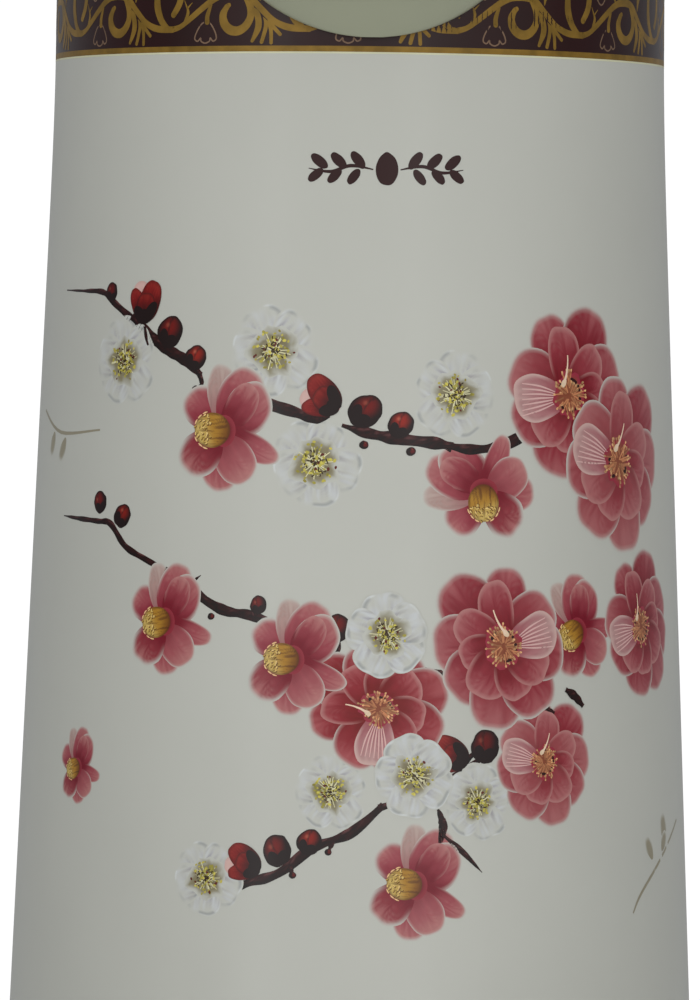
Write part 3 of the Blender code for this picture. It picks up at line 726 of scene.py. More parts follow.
def white_blossom(name, angle, z, turn=0, scale=1.0, mirror=1, strength=1.0, level=0):
    """An open white blossom: five thin petals and a burst of yellow-tipped stamens."""
    ink = Ink(name, angle, z, turn, scale, mirror, level)
    for way, length, width, seed in ((92, 12.5, 12.5, 1), (22, 12.0, 12.0, 2), (305, 12.8, 12.5, 3),
                                     (232, 12.2, 12.2, 4), (162, 11.8, 12.5, 5)):
        ink.petal((0, 0), way, length, width, white_petal(seed, strength), 0.4, 0.06, 0.3, 0.08, 14, 56)
    draw = random.Random(int(angle * 11 + z))
    core, heart = seen(74, 66, 38), seen(124, 117, 92)

    def ground(rho, b):
        blot = noise(Vector((math.cos(b) * rho * 4, math.sin(b) * rho * 4, angle)))
        middle = mix(core, heart, smooth(-0.1, 0.7, rho + 0.5 * blot))
        return mix(middle, PAPER, smooth(0.6, 1.0, rho - 0.2 * blot))

    ink.disc((0, 0), 6.4, 6.2, 0, ground, 10, 34, 1, 0.4)
    for _ in range(46):
        a = draw.uniform(0, 2 * math.pi)
        reach = draw.uniform(1.6, 5.2)
        end = (reach * math.cos(a), reach * math.sin(a))
        tone = draw.uniform(0.86, 1.04)
        ink.stroke([(0.5 * math.cos(a), 0.5 * math.sin(a)), end], [0.34, 0.24],
                   plain(198 * tone, 194 * tone, 156 * tone), 2, 1, 0.06)
    for _ in range(72):
        a = draw.uniform(0, 2 * math.pi)
        reach = draw.uniform(0.6, 5.5)
        tone = draw.uniform(0.70, 1.10)
        size = draw.uniform(0.32, 0.62)
        brown = draw.random() < 0.10
        colour = plain(88, 38, 32) if brown else plain(176 * tone, 166 * tone, 76 * tone)
        spot = (reach * math.cos(a), reach * math.sin(a))
        ink.disc(spot, size, size * 0.7, draw.uniform(0, 180), colour, 1, 7, 0.05)
    for _ in range(34):
        a = draw.uniform(0, 2 * math.pi)
        reach = draw.uniform(0, 3.6)
        spot = (reach * math.cos(a), reach * math.sin(a))
        ink.disc(spot, 0.46, 0.2, draw.uniform(0, 180), plain(52, 38, 26), 1, 6, 0.05)
    return ink


def bark(seed):
    dark, mid, glint = seen(30, 12, 12), seen(56, 24, 24), seen(104, 66, 66)

    def paint(s, t):
        rough = noise(Vector((s * 26, t * 2.5, seed)))
        colour = mix(dark, mid, 0.30 + 0.35 * t + 0.8 * rough)
        return mix(colour, glint, smooth(0.22, 0.55, rough) * smooth(-0.1, 0.5, t) * 0.6)

    return paint


def bud(ink, centre, size, turn=90, red=0.4, stretch=1.12):
    """A closed round bud: dark maroon, a red glow, scales meeting near its tip."""
    dark, glow, warm = seen(34, 9, 10), seen(92, 22, 22), seen(150, 42, 30)
    tip = math.radians(turn)

    def paint(rho, b):
        x = rho * math.cos(b)
        y = rho * math.sin(b)
        near = math.hypot(x - 0.28, y - 0.18)
        colour = mix(mix(glow, warm, red), dark, smooth(0.15, 0.95, near))
        seam = abs(y - 0.32 * math.sin(2.2 * x + 0.4))
        colour = mix(colour, dark, smooth(0.13, 0.02, seam) * smooth(-0.5, 0.3, x) * 0.75)
        shine = smooth(0.22, 0.04, math.hypot(x - 0.3, y - 0.42)) * (0.25 + 0.5 * red)
        colour = mix(colour, seen(176, 96, 76), shine)
        return mix(colour, dark, smooth(0.80, 0.98, rho) * 0.9)

    ink.disc(centre, size * stretch / 2, size / 2, turn, paint, rings=12, spokes=36, wobble=0.10)
    foot = (centre[0] - size * 0.42 * math.cos(tip), centre[1] - size * 0.42 * math.sin(tip))
    for lean in (-38, 36):
        ink.petal(foot, turn + lean, size * 0.5, size * 0.34, plain(34, 12, 12), 0, 0, 0.0, 0, 3, 12, 0.4)


def open_bud(ink, centre, size, turn):
    """A bud that begins to open: red cup, pale pink petal tips, dark sepals at its foot."""
    a = math.radians(turn)
    foot = (centre[0] - size * 0.5 * math.cos(a), centre[1] - size * 0.5 * math.sin(a))
    dim = seen(34, 9, 10)
    red = pink_petal(3, (62, 10, 12), (122, 28, 28), (150, 50, 44), -0.1, 0.5, (60, 14, 14))
    tip = pink_petal(4, (150, 60, 58), (206, 158, 152), (214, 184, 176), 0.2, 0.3)
    ink.petal(foot, turn + 10, size * 1.02, size * 0.62, tip, 0.2, 0, 0.1)
    ink.petal(foot, turn + 24, size * 0.92, size * 0.46, red, 0.4, 0, 0.0)
    ink.petal(foot, turn - 14, size * 1.06, size * 0.66, red, -0.2, 0, 0.05)
    cup = pink_petal(5, (52, 10, 12), (112, 26, 26), (140, 44, 38), -0.1, 0.6, (44, 10, 10))
    ink.petal(foot, turn - 4, size * 0.74, size * 0.6, cup, 0, 0, 0.1)
    for lean, reach in ((-34, 0.62), (38, 0.5), (2, 0.34)):
        ink.petal(foot, turn + lean, size * reach, size * 0.3, lambda *_: dim, 0, 0, 0.0, 0, 4, 16, 0.5)


def about(place, centre):
    """(degrees, z) to (x, y) mm about a print's centre."""
    return ((place[0] - centre[0]) * math.pi / 180 * body_radius(place[1]), place[1] - centre[1])


def branch(name, stems, buds=(), opens=(), level=0):
    """Twigs with their buds. Places are (degrees from the spout, z in mm)."""
    centre = stems[0][0][0]
    ink = Ink(name, *centre, level=level)
    for n, (path, widths) in enumerate(stems):
        ink.stroke([about(p, centre) for p in path], widths, bark(n + 1.5), 9, 6, 1, 0.45)
    for place, size, turn, red in buds:
        bud(ink, about(place, centre), size, turn, red)
    for place, size, turn in opens:
        open_bud(ink, about(place, centre), size, turn)
    return ink


def make_branches(ink_mat):
    branch("upper_branch", (
        ([(-69.2, 221.9), (-62, 221.6), (-55.4, 221.2), (-52, 218.6), (-46.3, 213.9)],
         (0.35, 0.7, 1.5, 1.9, 2.2)),
        ([(-47.0, 215.0), (-42.5, 210.6), (-38.7, 207.1), (-34.5, 204.3), (-30.8, 200.4)],
         (2.0, 2.5, 2.8, 2.9, 1.6)),
        ([(-18.5, 193.6), (-13.2, 191.5), (-9.2, 189.8), (-6.6, 190.4)], (3.0, 2.8, 2.6, 0.6)),
        ([(-4.5, 188.2), (0.5, 186.2), (5.6, 185.0), (12.8, 183.9), (15.2, 183.0)],
         (1.0, 2.7, 3.0, 2.6, 2.3)),
        ([(12.8, 184.0), (18.5, 182.6), (24.5, 183.6), (30.5, 187.2)], (2.2, 2.3, 2.6, 3.0)),
        ([(-43.6, 212.6), (-43.1, 209.4), (-42.6, 207.8)], (1.0, 0.9, 0.5)),
        ([(-31.4, 201.4), (-30.6, 198.4), (-31.5, 197.2)], (1.3, 1.2, 0.7)),
    ), buds=(
        ((-52.7, 221.2), 4.4, 80, 0.0), ((-37.7, 211.1), 7.4, 60, 0.15), ((-32.1, 204.6), 6.0, 45, 0.6),
        ((-0.4, 191.8), 8.0, 40, 0.15), ((5.9, 188.4), 6.2, 60, 0.7), ((-0.6, 183.4), 2.1, 0, 0.0),
        ((7.7, 181.9), 2.2, 0, 0.0), ((-31.8, 196.8), 1.9, 0, 0.0),
    ), opens=(
        ((-43.7, 218.6), 10.6, 88), ((-8.1, 194.9), 10.4, 150),
    )).finish(ink_mat)
    branch("middle_branch", (
        ([(-65.7, 165.0), (-60.7, 164.4), (-53.9, 163.7), (-50.4, 163.1), (-46.4, 157.6), (-41.5, 154.4),
          (-37.0, 151.7)], (0.3, 1.0, 1.4, 1.9, 1.7, 1.5, 1.4)),
        ([(-37.0, 151.9), (-32.7, 148.8), (-28.6, 144.4), (-24.6, 141.8), (-20.4, 140.9), (-16.1, 138.9)],
         (1.4, 2.2, 2.2, 2.6, 2.4, 2.2)),
        ([(-30.8, 149.4), (-29.6, 150.6)], (0.9, 0.2)),
        ([(-19.6, 140.6), (-18.4, 143.6)], (1.6, 1.5)),
        ([(-6.0, 136.2), (-4.8, 133.4), (-5.4, 131.4)], (1.6, 2.0, 1.0)),
    ), buds=(
        ((-53.5, 168.5), 5.0, 100, 0.1), ((-47.4, 165.1), 5.6, 40, 0.35), ((-18.7, 143.4), 4.2, 90, 0.1),
        ((-5.0, 137.7), 6.6, 60, 0.1), ((-27.4, 140.4), 1.7, 0, 0.0), ((-5.6, 131.2), 1.9, 0, 0.0),
    )).finish(ink_mat)
    branch("lower_branch", (
        ([(-24.6, 71.0), (-19.9, 74.2), (-14.1, 77.1), (-8.5, 83.4), (-2.2, 87.2), (3.3, 94.2)],
         (1.5, 2.2, 2.5, 2.6, 2.5, 2.0)),
        ([(2.5, 93.4), (10.9, 97.8), (16.4, 102.0), (20.4, 106.0)], (2.0, 2.4, 2.0, 1.4)),
        ([(12.4, 94.0), (13.2, 91.0), (13.5, 88.6), (12.7, 83.2)], (0.4, 1.6, 2.2, 0.3)),
        ([(13.4, 87.0), (17.0, 82.6), (20.4, 77.6)], (0.9, 1.7, 0.2)),
        ([(-12.4, 78.6), (-11.6, 76.6)], (1.2, 1.0)),
        ([(-5.2, 85.0), (-5.8, 82.6)], (1.2, 1.0)),
        ([(16.0, 102.2), (18.4, 106.4), (20.6, 107.6)], (1.6, 1.4, 1.0)),
    ), buds=(
        ((-14.5, 82.6), 7.2, 100, 0.15), ((-9.1, 84.8), 6.0, 60, 0.5), ((21.1, 108.8), 7.6, 78, 0.0),
        ((-11.8, 76.6), 1.7, 0, 0.0), ((-5.9, 82.4), 1.6, 0, 0.0),
    ), opens=(
        ((-20.3, 79.4), 9.4, 160), ((14.8, 106.6), 9.6, 165),
    )).finish(ink_mat)


def make_short_branch(ink_mat):
    branch("short_branch", (([(6.4, 127.8), (10.0, 127.2), (15.4, 126.2)], (2.3, 2.6, 2.4)),
                            ([(37.4, 123.0), (39.6, 121.2), (41.4, 118.8)], (1.8, 2.2, 1.2)),
                            ([(32.6, 118.6), (34.8, 117.0)], (1.8, 1.2))), level=1).finish(ink_mat)


def faint_twig(name, stem, leaves):
    """A pale, distant twig."""
    centre = stem[0]
    ink = Ink(name, *centre)
    tone = plain(136, 130, 112)
    ink.stroke([about(p, centre) for p in stem], (0.7, 0.9, 0.5), tone, 6, 2)
    for place, size, turn in leaves:
        ink.petal(about(place, centre), turn, size * 1.5, size * 0.75, tone, 0, 0.5)
    return ink


def make_flowers(ink_mat):
    white_blossom("white_blossom_1", -48.5, 203.9, 8, 0.94, 1, 0.8).finish(ink_mat)
    white_blossom("white_blossom_2", -17.0, 206.5, 20, 0.98).finish(ink_mat)
    white_blossom("white_blossom_3", 15.8, 196.1, -5, 0.94, -1, 0.85).finish(ink_mat)
    white_blossom("white_blossom_4", -9.1, 178.8, 40, 0.96).finish(ink_mat)
    white_blossom("white_blossom_9", -26.9, 75.4, 30, 0.80).finish(ink_mat)
    pink_single("pink_blossom_1", -28.2, 186.7, 0, 0.95, level=1).finish(ink_mat)
    pink_single("pink_blossom_2", -38.5, 138.7, 8, 0.84).finish(ink_mat)
    pink_single("pink_blossom_4", 21.0, 169.3, 92, 0.90, 1).finish(ink_mat)
    pink_single("pink_blossom_5", 6.9, 74.7, -4, 0.86).finish(ink_mat)
    pink_single("pink_blossom_6", -58.2, 101.6, 12, 0.58).finish(ink_mat)
    pink_double("full_blossom_1", 39.3, 196.5, 0, 1.12, level=1).finish(ink_mat)
    pink_double("full_blossom_2", 52.0, 180.0, -20, 1.14, 1, 2, 0.16).finish(ink_mat)
    pink_single("pink_blossom_7", 38.9, 136.6, 30, 0.8, level=1).finish(ink_mat)
    pink_double("full_blossom_5", 58.5, 138.8, 10, 0.94, 1, 1).finish(ink_mat)
    pink_double("full_blossom_3", 2.3, 118.0, 80, 0.92, 1, 1, -0.08, 0.8).finish(ink_mat)
    pink_single("pink_blossom_3", -14.4, 130.1, 0, 0.86, level=2).finish(ink_mat)
    pink_double("full_blossom_4", 24.6, 133.8, 20, 1.05, -1, 2).finish(ink_mat)
    pink_double("full_blossom_6", 32.6, 105.0, -15, 0.82, 1, 1, 0.16).finish(ink_mat)
    white_blossom("white_blossom_5", 3.7, 136.3, 12, 0.88, -1, 1.5, 3).finish(ink_mat)
    white_blossom("white_blossom_6", -5.7, 97.3, 0, 0.80).finish(ink_mat)
    white_blossom("white_blossom_7", 8.5, 101.5, 25, 0.86, -1, 1.4, 2).finish(ink_mat)
    white_blossom("white_blossom_8", 19.6, 95.1, -10, 0.80, level=1).finish(ink_mat)
    faint_twig("faint_twig_1", ((-79, 191.7), (-68.8, 186.0), (-54.5, 186.6)),
               (((-72, 186.2), 4.6, 250), ((-66.5, 184.6), 4.6, 240))).finish(ink_mat)
    faint_twig("faint_twig_2", ((74.0, 89.7), (58.0, 73.4), (53.8, 66.8)),
               (((66.5, 84.0), 5.4, 100), ((61.0, 80.0), 4.6, 120), ((65.0, 82.0), 4.0, 60))).finish(ink_mat)


# --- the band -----------------------------------------------------------------------------------
def scroll_strokes():
    """One repeat of the band's scroll: (points, widths), x along the band, y above its lower stripe."""
    return (
        ([(-10, 4.2), (-7.4, 5.0), (-4.5, 7), (-1, 9.6), (2.5, 11.9), (5.6, 13.0), (8.7, 13.1), (11.8, 12.1),
          (15, 9.1), (18.5, 6.1), (22.5, 4.5), (27.5, 4.2)],
          (1.5, 1.3, 1.5, 1.6, 1.7, 2.1, 1.9, 1.6, 1.5, 1.7, 1.6)),
        ([(6.2, 10.1), (5.5, 9.4), (4.7, 7.6), (5.2, 5.5), (6.8, 4.0), (9.0, 3.7), (11.0, 4.9), (12.2, 7.2),
          (12.0, 9.8), (10.6, 12.4)], (1.2, 1.5, 2.0, 2.3, 2.4, 2.3, 2.1, 1.9, 1.9, 1.5)),
        ([(12.6, 9.4), (14.0, 7.6), (14.4, 4.6), (13.0, 1.2)], (0.8, 1.6, 1.7, 0.9)),
        ([(15.6, 7.0), (16.4, 5.0), (15.5, 0.9)], (0.2, 1.1, 1.0)),
        ([(15.9, 6.8), (17.6, 4.4), (18.0, 0.7)], (0.2, 1.0, 0.9)),
        ([(16.6, 6.8), (18.2, 4.8), (20.2, 2.8)], (0.2, 1.0, 0.9)),
        ([(29.4, 16.6), (29.9, 13.6), (29.3, 10.6), (27.6, 7.9)], (1.5, 1.9, 1.8, 1.6)),
        ([(22.6, 16.8), (22.2, 13.4), (22.4, 9.6), (24.0, 6.2), (26.4, 4.5)], (1.5, 1.8, 2.1, 1.8, 0.8)),
        ([(0.3, 5.9), (0.3, 7.6), (1.2, 10.2)], (1.3, 1.2, 0.8)),
        ([(30.6, 5.2), (32.0, 8.0), (31.8, 9.6)], (0.4, 0.9, 0.5)),
        ([(31.8, 9.4), (30.9, 11.4)], (0.5, 0.2)),
        ([(31.8, 9.4), (33.2, 10.8)], (0.5, 0.2)),
        ([(12.0, 16.9), (9.2, 16.2), (6.6, 14.2)], (0.6, 1.5, 0.4)),
        ([(17.8, 16.6), (15.4, 14.6), (14.6, 11.4)], (0.9, 1.6, 0.4)),
        ([(0.4, 16.8), (2.4, 15.2), (3.2, 13.0)], (0.6, 1.4, 0.4)),
    )


def scroll_lines():
    """The thin bud outlines of one repeat: one hanging, one standing under the top stripe."""
    hanging = [(0.1, 6.2), (-1.4, 5.4), (-2.7, 3.4), (-3.1, 1.8), (-2.2, 1.2), (-1.4, 2.0), (-1.2, 1.2),
               (0.0, 0.7), (1.2, 1.2), (1.4, 2.0), (2.2, 1.2), (3.1, 1.8), (2.7, 3.4), (1.4, 5.4), (0.1, 6.2)]
    standing = [(x * 0.7 + 34.6, 17.0 - y * 0.8) for x, y in hanging]
    return hanging, standing


def make_band(mats):
    sleeve = bmesh.new()
    rings = []
    for z in (BAND_BOTTOM + STRIPE - 0.2, BAND_TOP - STRIPE + 0.2):
        rings.append([sleeve.verts.new(on_body(360 * k / 360, z, INK)) for k in range(360)])
    bridge(sleeve, *rings)
    obj = add("band_ground", sleeve, mats["band"])
    face_outward(obj)
    stand_for(obj, "pot", "pearl_paint")
    for name, low, high, mat in (("band_edge", BAND_BOTTOM - 0.45, BAND_BOTTOM, mats["cream_ink"]),
                                 ("band_stripe_low", BAND_BOTTOM, BAND_BOTTOM + STRIPE, mats["gold_ink"]),
                                 ("band_stripe_top", BAND_TOP - STRIPE, BAND_TOP, mats["gold_ink"])):
        bm = bmesh.new()
        rings = [[bm.verts.new(on_body(k, z, INK + LAYER)) for k in range(360)] for z in (low, high)]
        bridge(bm, *rings)
        stripe = add(name, bm, mat)
        face_outward(stripe)
        stand_for(stripe, "pot", "pearl_paint")
    period = 2 * math.pi * body_radius(BAND_BOTTOM + STRIPE) / BAND_REPEATS
    for part, mat in (("strokes", mats["gold_ink"]), ("lines", mats["line_ink"])):
        ink = Ink(f"band_{part}", 0, BAND_BOTTOM + STRIPE)
        ink.layer = 4
        for n in range(BAND_REPEATS):
            shift = BAND_SHIFT + period * n
            if part == "strokes":
                for path, widths in scroll_strokes():
                    ink.stroke([(x + shift, y) for x, y in path], widths, plain(0, 0, 0), 8, 2, 0.02)
                    for spot, width in ((path[0], widths[0]), (path[-1], widths[-1])):
                        ink.disc((spot[0] + shift, spot[1]), width / 2, width / 2, 0, plain(0, 0, 0), 1, 12,
                                 0.02)
            else:
                for path in scroll_lines():
                    ink.stroke([(x + shift, y) for x, y in path], (0.36, 0.36), plain(0, 0, 0), 5, 1, 0.02)
        ink.finish(mat)


def make_ornament(mats):
    """A small generic flourish on the front: a dark oval between two leaf sprigs."""
    ink = Ink("front_ornament", 3.1, 251.8)
    tone = plain(46, 22, 15)
    ink.petal((0, -4.0), 90, 8.0, 5.6, tone, 0, 0, 0.0, -0.10)
    for side in (1, -1):
        ink.stroke([(side * 3.4, 0), (side * 9, 0.9), (side * 14, -0.6), (side * 19.5, 0.2)],
                   (0.3, 0.9, 0.8, 0.2), tone, 8, 3)
        for x, way in ((5.6, 52), (10.2, 46), (14.8, 40)):
            ink.petal((side * x, 0.3), 90 - side * (90 - way), 5.2, 2.5, tone, 0, 0, 0.0)
            ink.petal((side * (x + 1.2), 0), 270 + side * (90 - way), 4.6, 2.3, tone, 0, 0, 0.0)
    ink.finish(mats["ink"])


# --- body and base ------------------------------------------------------------------------------
def make_body(mats):
    steps = 60
    heights = [SHELL_TOP + (SHELL_BOTTOM - SHELL_TOP) * k / steps for k in range(steps + 1)]
    outside = [(body_radius(z), z) for z in heights]
    inside = [(r - 0.9, z) for r, z in reversed(outside)]
    shell = add("painted_body", turned(outside + inside, 256), mats["pearl"])
    stand_for(shell, "pot", "pearl_paint", "outer_shell")
    ring = rounded([(84.0, 31.2), (86.6, 33.1), (88.0, 33.1), (88.7, 30), (88.9, 14), (88.2, 9.2), (86.8, 8),
                    (84.2, 8), (84.2, 29), (66, 29), (66, 33.0), (83.4, 33.0)], 0.9)
    base = add("base_skirt", turned(ring, 224), mats["ivory"])
    stand_for(base, "pot", "ivory_plastic", "base_ring")
    plate = rounded([(9.2, 15.0), (9.2, 6.2), (79.5, 6.2), (80.5, 5.2), (80.5, 3.6), (79.8, 3.0), (0, 3.0),
                     (0, 10), (2.2, 10), (2.2, 15.0)], 0.4)
    disc = add("turntable_disc", turned(plate, 160), mats["ivory"])
    stand_for(disc, "turntable", "ivory_plastic", "turntable")
    foot = rounded([(76, 2.0), (75.4, 0), (66.6, 0), (66, 2.0), (66, 2.7), (76, 2.7)], 0.5)
    stand_for(add("foot_rubber", turned(foot, 160), mats["rubber"]), "turntable", "dark_rubber", "foot_ring")


# --- collar, hood and water path ----------------------------------------------------------------
def make_collar(mats):
    outline = rounded([(78.3, 333.5), (78.9, 332.9), (78.9, 305.2), (78.2, 304.4), (76.1, 304.4), (76.1, 300),
                       (74, 300), (74, 322), (34, 322), (34, 304.1), (31, 304.1), (31, 325), (75, 325),
                       (75, 333.5)], 0.5)
    collar = add("collar_shell", turned(outline, 200), mats["ivory"])
    for sign in (1, -1):
        carve(collar, rod("boss", 9.7, (sign * 75.4, 0, 322), (sign * 81.9, 0, 322), 64), "UNION")
        carve(collar, rod("boss_bore", 3.4, (sign * 76.1, 0, 322), (sign * 95, 0, 322)))
    carve(collar, rod("knuckle_room", 6.9, (-12.8, 82, 337), (12.8, 82, 337), 64))
    for sign in (1, -1):
        carve(collar, block("ear", (sign * 13, 74.6, 322.4), (sign * 20, 87, 336)), "UNION")
        carve(collar, rod("ear_top", 5.6, (sign * 13.01, 82, 337), (sign * 19.99, 82, 337)), "UNION")
    carve(collar, rod("ear_bore", 2.4, (-30, 82, 337), (30, 82, 337)))
    carve(collar, rod("pipe_passage", 5.8, (0, -25, 313), (0, -86, 316.4)))
    carve(collar, block("latch_catch", (-8, -77, 327), (8, -71, 330)), "UNION")
    finish_hard(collar, mats["ivory"])
    stand_for(collar, "pot", "ivory_plastic", "collar")


def finish_hard(obj, mat, sharp=32):
    obj.data.materials.clear()
    obj.data.materials.append(mat)
    obj.data.shade_smooth()
    obj.data.set_sharp_from_angle(angle=math.radians(sharp))


def hood_profile(t):
    """Forward reach and height of the hood's middle line, in mm, from chin (0) to back edge (1)."""
    points = ((79.6, 284.5), (82.0, 288.5), (84.6, 294), (88, 301), (95, 306.5), (105, 309.8), (112, 311),
              (116.4, 314.4), (117.6, 319.5), (115.4, 325.5), (108, 330), (96, 332.4), (81, 333.2))
    place = min(max(t, 0), 1) * (len(points) - 1)
    k = min(int(place), len(points) - 2)
    f = place - k
    before = points[max(k - 1, 0)]
    after = points[min(k + 2, len(points) - 1)]
    return [b + 0.5 * f * (c - a + f * (2 * a - 5 * b + 4 * c - d + f * (3 * (b - c) + d - a)))
            for a, b, c, d in zip(before, points[k], points[k + 1], after)]


CHIN_R = 44.0
CHIN_Z = 328.5
HOOD_BACK = 79.3


def hood_section(t, inset, across=48):
    reach, z = hood_profile(t)
    ahead = hood_profile(t + 0.01)
    behind = hood_profile(t - 0.01)
    run = Vector((ahead[0] - behind[0], ahead[1] - behind[1])).normalized()
    half = math.sqrt(max(CHIN_R ** 2 - min(0, z - CHIN_Z) ** 2, 0)) - inset
    reach -= run.y * inset
    z += run.x * inset
    back = HOOD_BACK - (5 if inset else 0)
    turns = [math.pi * (k / across - 0.5) for k in range(across + 1)]
    front = []
    for turn in turns:
        x = half * math.sin(turn)
        bulge = max(reach - HOOD_BACK, 0) * abs(math.cos(turn)) ** 0.9
        front.append(Vector((x, -math.sqrt(HOOD_BACK ** 2 - x * x) - bulge, z)) * MM)
    rear = [Vector((half * math.sin(turn), -math.sqrt(back ** 2 - (half * math.sin(turn)) ** 2), z)) * MM
            for turn in reversed(turns if inset else turns[1:-1])]
    return front + rear


def hood_solid(name, first, last, inset, stations=90):
    bm = bmesh.new()
    rings = []
    for k in range(stations + 1):
        ring = hood_section(first + (last - first) * k / stations, inset)
        rings.append([bm.verts.new(p) for p in ring])
    for low, high in zip(rings, rings[1:]):
        bridge(bm, low, high)
    bm.faces.new(rings[0])
    bm.faces.new(rings[-1])
    return add(name, bm, None)


def make_hood(mats):
    hood = hood_solid("hood_shell", 0.004, 1, 0)
    carve(hood, hood_solid("hollow", 0.12, 0.96, 1.8))
    carve(hood, rod("outlet", 6.6, (0, -103, 300), (0, -103, 318)))
    finish_hard(hood, mats["ivory"], 40)
    stand_for(hood, "pot", "ivory_plastic", "spout_hood")
    nozzle = rounded([(6.1, 303.6), (4.7, 303.2), (4.7, 315.6), (7.6, 315.6), (7.6, 314.0), (6.1, 313.4)], 0.4)
    nozzle = add("nozzle", turned(nozzle, 64, (0, -103)), mats["ivory"])
    stand_for(nozzle, "pot", "ivory_plastic", "spout_nozzle")


# --- lid ----------------------------------------------------------------------------------------
def make_lid(mats):
    outline = [(52, 376.4), (53, 377.5), (58, 377.2), (61.5, 376.2), (65, 374.6), (68.4, 372.4),
               (71.2, 369.6), (73.6, 366.2), (75.4, 362.4), (76.7, 357.6), (77.6, 352), (78.2, 346),
               (78.5, 340), (78.5, 334.6), (77.9, 334), (75.6, 334), (75.6, 340), (74.8, 351.4),
               (72.8, 360.8), (69.2, 367.4), (63.8, 371.8), (57.6, 374.2), (54.2, 374.4), (54.2, 365),
               (52, 365)]
    lid = add("lid_cover", turned(rounded(outline, 0.5), 224), mats["ivory"])
    carve(lid, block("hinge_gap", (-22.5, 66, 330), (22.5, 92, 345)))
    carve(lid, block("latch_window", (-13, -92, 341), (13, -70, 353)))
    carve(lid, block("lock_slot", (-15.5, -60.4, 368), (3.5, -55.4, 380)))
    finish_hard(lid, mats["ivory"])
    stand_for(lid, "lid", "ivory_plastic", "lid_shell")


def make_plate(mats):
    crown = [(49.5 * math.sin(a), 380 + 8 * math.cos(a)) for a in (math.radians(d) for d in range(0, 88, 4))]
    outline = crown + [(49.5, 380), (49.5, 360.2), (47.1, 360.2), (47.1, 377.4), (40, 380.6), (0, 380.6)]
    plate = add("press_plate", turned(rounded(outline, 0.5), 200), mats["ivory"])
    carve(plate, add("dish", turned([(0, 400), (27.3, 400), (27.3, 385.4), (0, 385.4)], 128), None))
    carve(plate, block("notch", (-8.5, -52, 350), (8.5, -44, 379.6)))
    finish_hard(plate, mats["ivory"])
    stand_for(plate, "plate", "ivory_plastic", "push_plate")
    disc = [(0, 387.6), (6, 387.55), (12, 387.35), (18, 387.0), (22, 386.7), (25.6, 386.3), (27.0, 385.7),
            (0, 385.7)]
    stand_for(add("plate_badge", turned(rounded(disc, 0.4), 128), mats["trim"]), "plate", "gold_trim",
              "plate_insert")


def make_latch(mats):
    face = block("latch_button", (-12.2, -80.4, 341.6), (12.2, -72.6, 352.4))
    soften(face, 1.4, 5)
    carve(face, block("stem", (-6, -74, 342.2), (6, -66.6, 344.6)), "UNION")
    carve(face, block("leg", (-6, -69.4, 326.0), (6, -66.6, 344.6)), "UNION")
    carve(face, block("hook", (-5.9, -70.2, 325.7), (5.9, -66.7, 328.4)), "UNION")
    for k in range(4):
        z = 344.4 + k * 1.9
        carve(face, block("rib", (-8.5, -80.9, z), (8.5, -79.9, z + 0.8)), "UNION")
    finish_hard(face, mats["ivory"])
    stand_for(face, "latch", "ivory_plastic", "lid_latch")
    knob = block("lock_knob", (-4.4, -61.4, 377.8), (4.4, -54.6, 380.6))
    soften(knob, 0.9, 4)
    carve(knob, block("stem", (-3.0, -59.9, 357.2), (3.0, -55.9, 378.4)), "UNION")
    carve(knob, block("tongue", (-2.9, -59.8, 356.2), (2.9, -47.3, 359.2)), "UNION")
    for k in range(3):
        x = -2.5 + 2.1 * k
        carve(knob, block("rib", (x, -60.6, 380.3), (x + 0.8, -55.4, 380.9)), "UNION")
    finish_hard(knob, mats["trim"])
    stand_for(knob, "lock", "gold_trim", "lock_slider")


# --- handle -------------------------------------------------------------------------------------
def bow(a, b, turn):
    power = 2 / 2.6
    c = math.cos(turn)
    return Vector((math.copysign(abs(c) ** power, c) * a, abs(math.sin(turn)) ** power * b, 0))


def make_handle(mats):
    steps = 120
    shape = []
    for k in range(20):
        a = 2 * math.pi * (k + 0.5) / 20
        shape.append((0.5 - 0.5 * math.copysign(abs(math.cos(a)) ** 0.55, math.cos(a)),
                      8 * math.copysign(abs(math.sin(a)) ** 0.7, math.sin(a))))
    bm = bmesh.new()
    rings = []
    for k in range(steps + 1):
        turn = math.pi * k / steps
        inner = bow(82.5, 105, turn)
        outer = bow(89, 118, turn)
        rings.append([bm.verts.new((inner.lerp(outer, share) + Vector((0, 0, height))) * MM)
                      for share, height in shape])
    for low, high in zip(rings, rings[1:]):
        bridge(bm, low, high)
    bm.faces.new(rings[0])
    bm.faces.new(rings[-1])
    handle = add("carry_handle", bm, None)
    for sign in (1, -1):
        carve(handle, rod("arm_end", 9.6, (sign * 82.3, 0, 0), (sign * 89.2, 0, 0), 64), "UNION")
        carve(handle, rod("arm_bore", 3.4, (sign * 70, 0, 0), (sign * 100, 0, 0)))
    tilt = Matrix.Translation((0, 0, 322 * MM)) @ Matrix.Rotation(math.radians(-10), 4, "X")
    handle.data.transform(tilt)
    finish_hard(handle, mats["ivory"], 45)
    stand_for(handle, "handle", "ivory_plastic", "handle")
    for side, sign in (("right", 1), ("left", -1)):
        outline = rounded([(0, 91.6), (3.2, 91.56), (6.4, 91.35), (8.0, 90.8), (8.6, 89.8), (8.6, 89.5),
                           (0, 89.5)], 0.3)
        cap = add(f"pivot_cover_{side}", turned(outline, 64), mats["trim"])
        cap.data.transform(tilt @ Matrix.Rotation(math.radians(90 * sign), 4, "Y"))
        stand_for(cap, "handle", "gold_trim", f"handle_cap_{side}")


